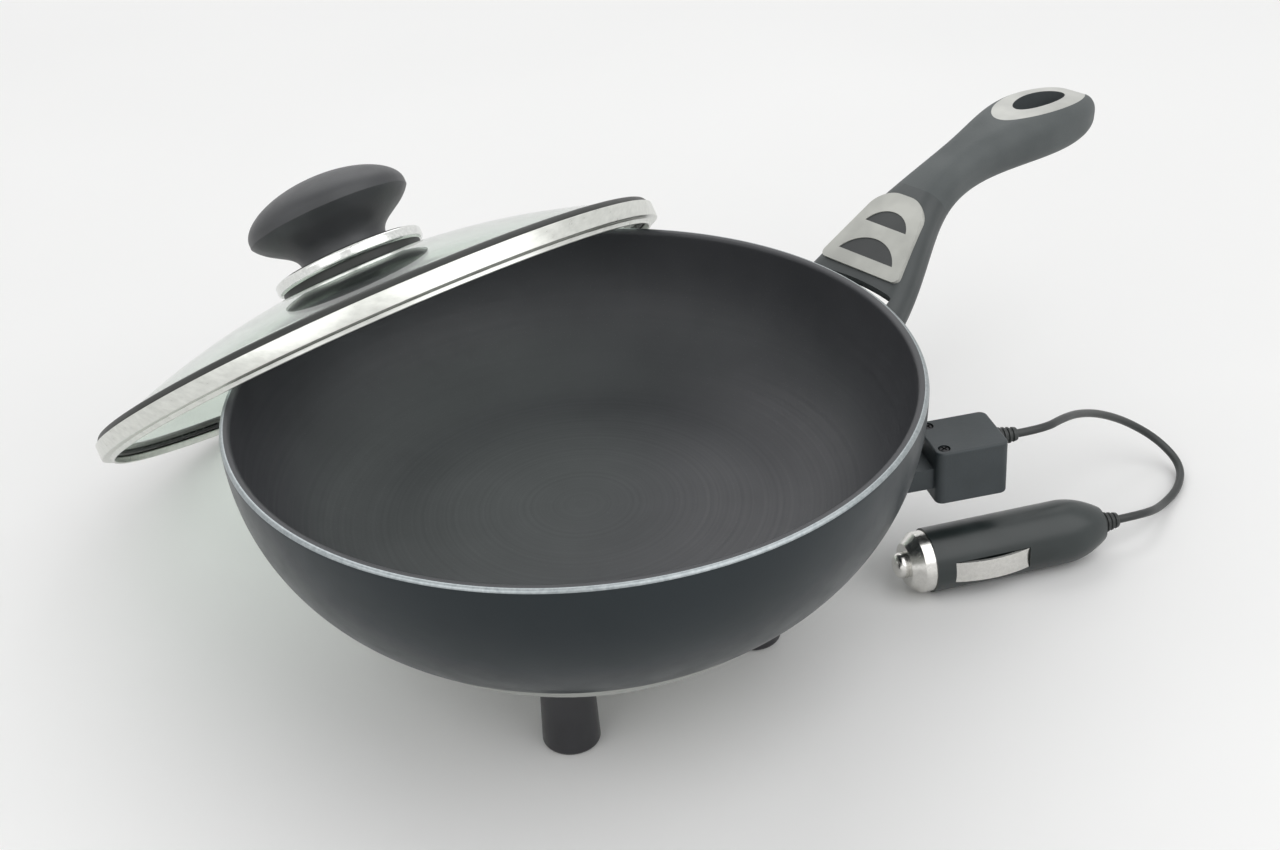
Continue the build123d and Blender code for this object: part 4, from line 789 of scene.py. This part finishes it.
# ---------------------------------------------------------------- cord
# The route's points are those of the CAD source, in millimetres.
CORD_DIAMETER = 0.0026
CORD_POINTS = [
    (123.54, -61.61, 41.0),
    (131.92, -66.07, 41.0),
    (144.50, -63.30, 37.8),
    (158.00, -60.00, 32.4),
    (172.50, -58.40, 25.0),
    (185.80, -60.00, 16.4),
    (194.40, -66.60, 8.2),
    (193.80, -76.20, 2.8),
    (183.40, -82.60, 1.6),
    (168.20, -86.20, 3.3),
    (152.90, -90.24, 10.0),
    (144.40, -86.00, 10.0),
]


def make_cord():
    curve = bpy.data.curves.new("cord_line", "CURVE")
    curve.dimensions = "3D"
    curve.bevel_depth = CORD_DIAMETER / 2
    curve.bevel_resolution = 10
    curve.use_fill_caps = True
    spline = curve.splines.new("NURBS")
    spline.points.add(len(CORD_POINTS) - 1)
    for point, place in zip(spline.points, CORD_POINTS):
        point.co = (*(value / 1000.0 for value in place), 1.0)
    spline.order_u = 3
    spline.use_endpoint_u = True
    spline.resolution_u = 24
    curve.materials.append(looks["cord_rubber"])
    piece = add_object("cord_line", curve)
    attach(piece, PAN)
    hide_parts("cord")


make_cord()

# ---------------------------------------------------------------- floor and light
BACKGROUND = 0.92
WORLD_LIGHT = 0.5
WHITE = (1.0, 1.0, 1.0, 1.0)
FLOOR_DARK = (0.90, 0.90, 0.895)
FLOOR_LIGHT = (0.93, 0.93, 0.925)
FLOOR_HALF = 6.0
FADE = (0.45, 1.5)
LIGHT_AIM = Vector((0.03, 0.0, 0.05))

# Each softbox: azimuth and elevation in degrees, distance, width and height, power.
SOFTBOXES = {
    "key": (-75, 50, 1.3, (1.4, 1.4), 7.4),
    "fill": (-175, 40, 1.5, (1.4, 1.0), 4.7),
    "back": (60, 48, 1.4, (1.5, 1.0), 5.2),
}


def make_stage():
    """A pale floor that keeps the shadow and fades with distance into the even background."""
    tree = new_material("pale_floor")
    tree.colour(tree.drift(tree.noise(scale=3.0, detail=2.0), FLOOR_DARK, FLOOR_LIGHT))
    tree.rough(tree.remap(tree.noise(scale=60.0, detail=2.0), WIDE, low=0.62, high=0.7))
    far = tree.remap(tree.length(tree.coordinates()), FADE)
    even = tree.add("ShaderNodeEmission")
    even.inputs["Color"].default_value = (BACKGROUND, BACKGROUND, BACKGROUND, 1.0)
    fade = tree.math("MULTIPLY", far, tree.seen_rays())
    tree.finish_mixed("Material Output", fade, tree.shader, even)
    mesh = bpy.data.meshes.new("floor")
    corners = [(x * FLOOR_HALF, y * FLOOR_HALF, 0.0) for x, y in ((-1, -1), (1, -1), (1, 1), (-1, 1))]
    mesh.from_pydata(corners, [], [(0, 1, 2, 3)])
    mesh.materials.append(tree.owner)
    add_object("floor", mesh)


def softbox(name, azimuth, elevation, distance, size, power):
    lamp = bpy.data.lights.new(name, "AREA")
    lamp.shape = "RECTANGLE"
    lamp.size, lamp.size_y = size
    lamp.energy = power
    holder = add_object(name, lamp)
    place = heading(math.radians(azimuth), math.radians(elevation)) * distance
    holder.location = place + LIGHT_AIM
    holder.rotation_euler = (-place).to_track_quat("-Z", "Y").to_euler()


def make_light():
    """Three softboxes and a plain world, which shows the background's own white where it's seen."""
    world = bpy.data.worlds.new("studio")
    bpy.context.scene.world = world
    tree = Tree(world)
    light = tree.nodes["Background"]
    backdrop = tree.add("ShaderNodeBackground")
    for shader, strength in ((light, WORLD_LIGHT), (backdrop, BACKGROUND)):
        shader.inputs["Color"].default_value = WHITE
        shader.inputs["Strength"].default_value = strength
    tree.finish_mixed("World Output", tree.seen_rays(), light, backdrop)
    for name, settings in SOFTBOXES.items():
        softbox(name, *settings)


make_stage()
make_light()

bpy.context.scene.view_settings.view_transform = "Standard"
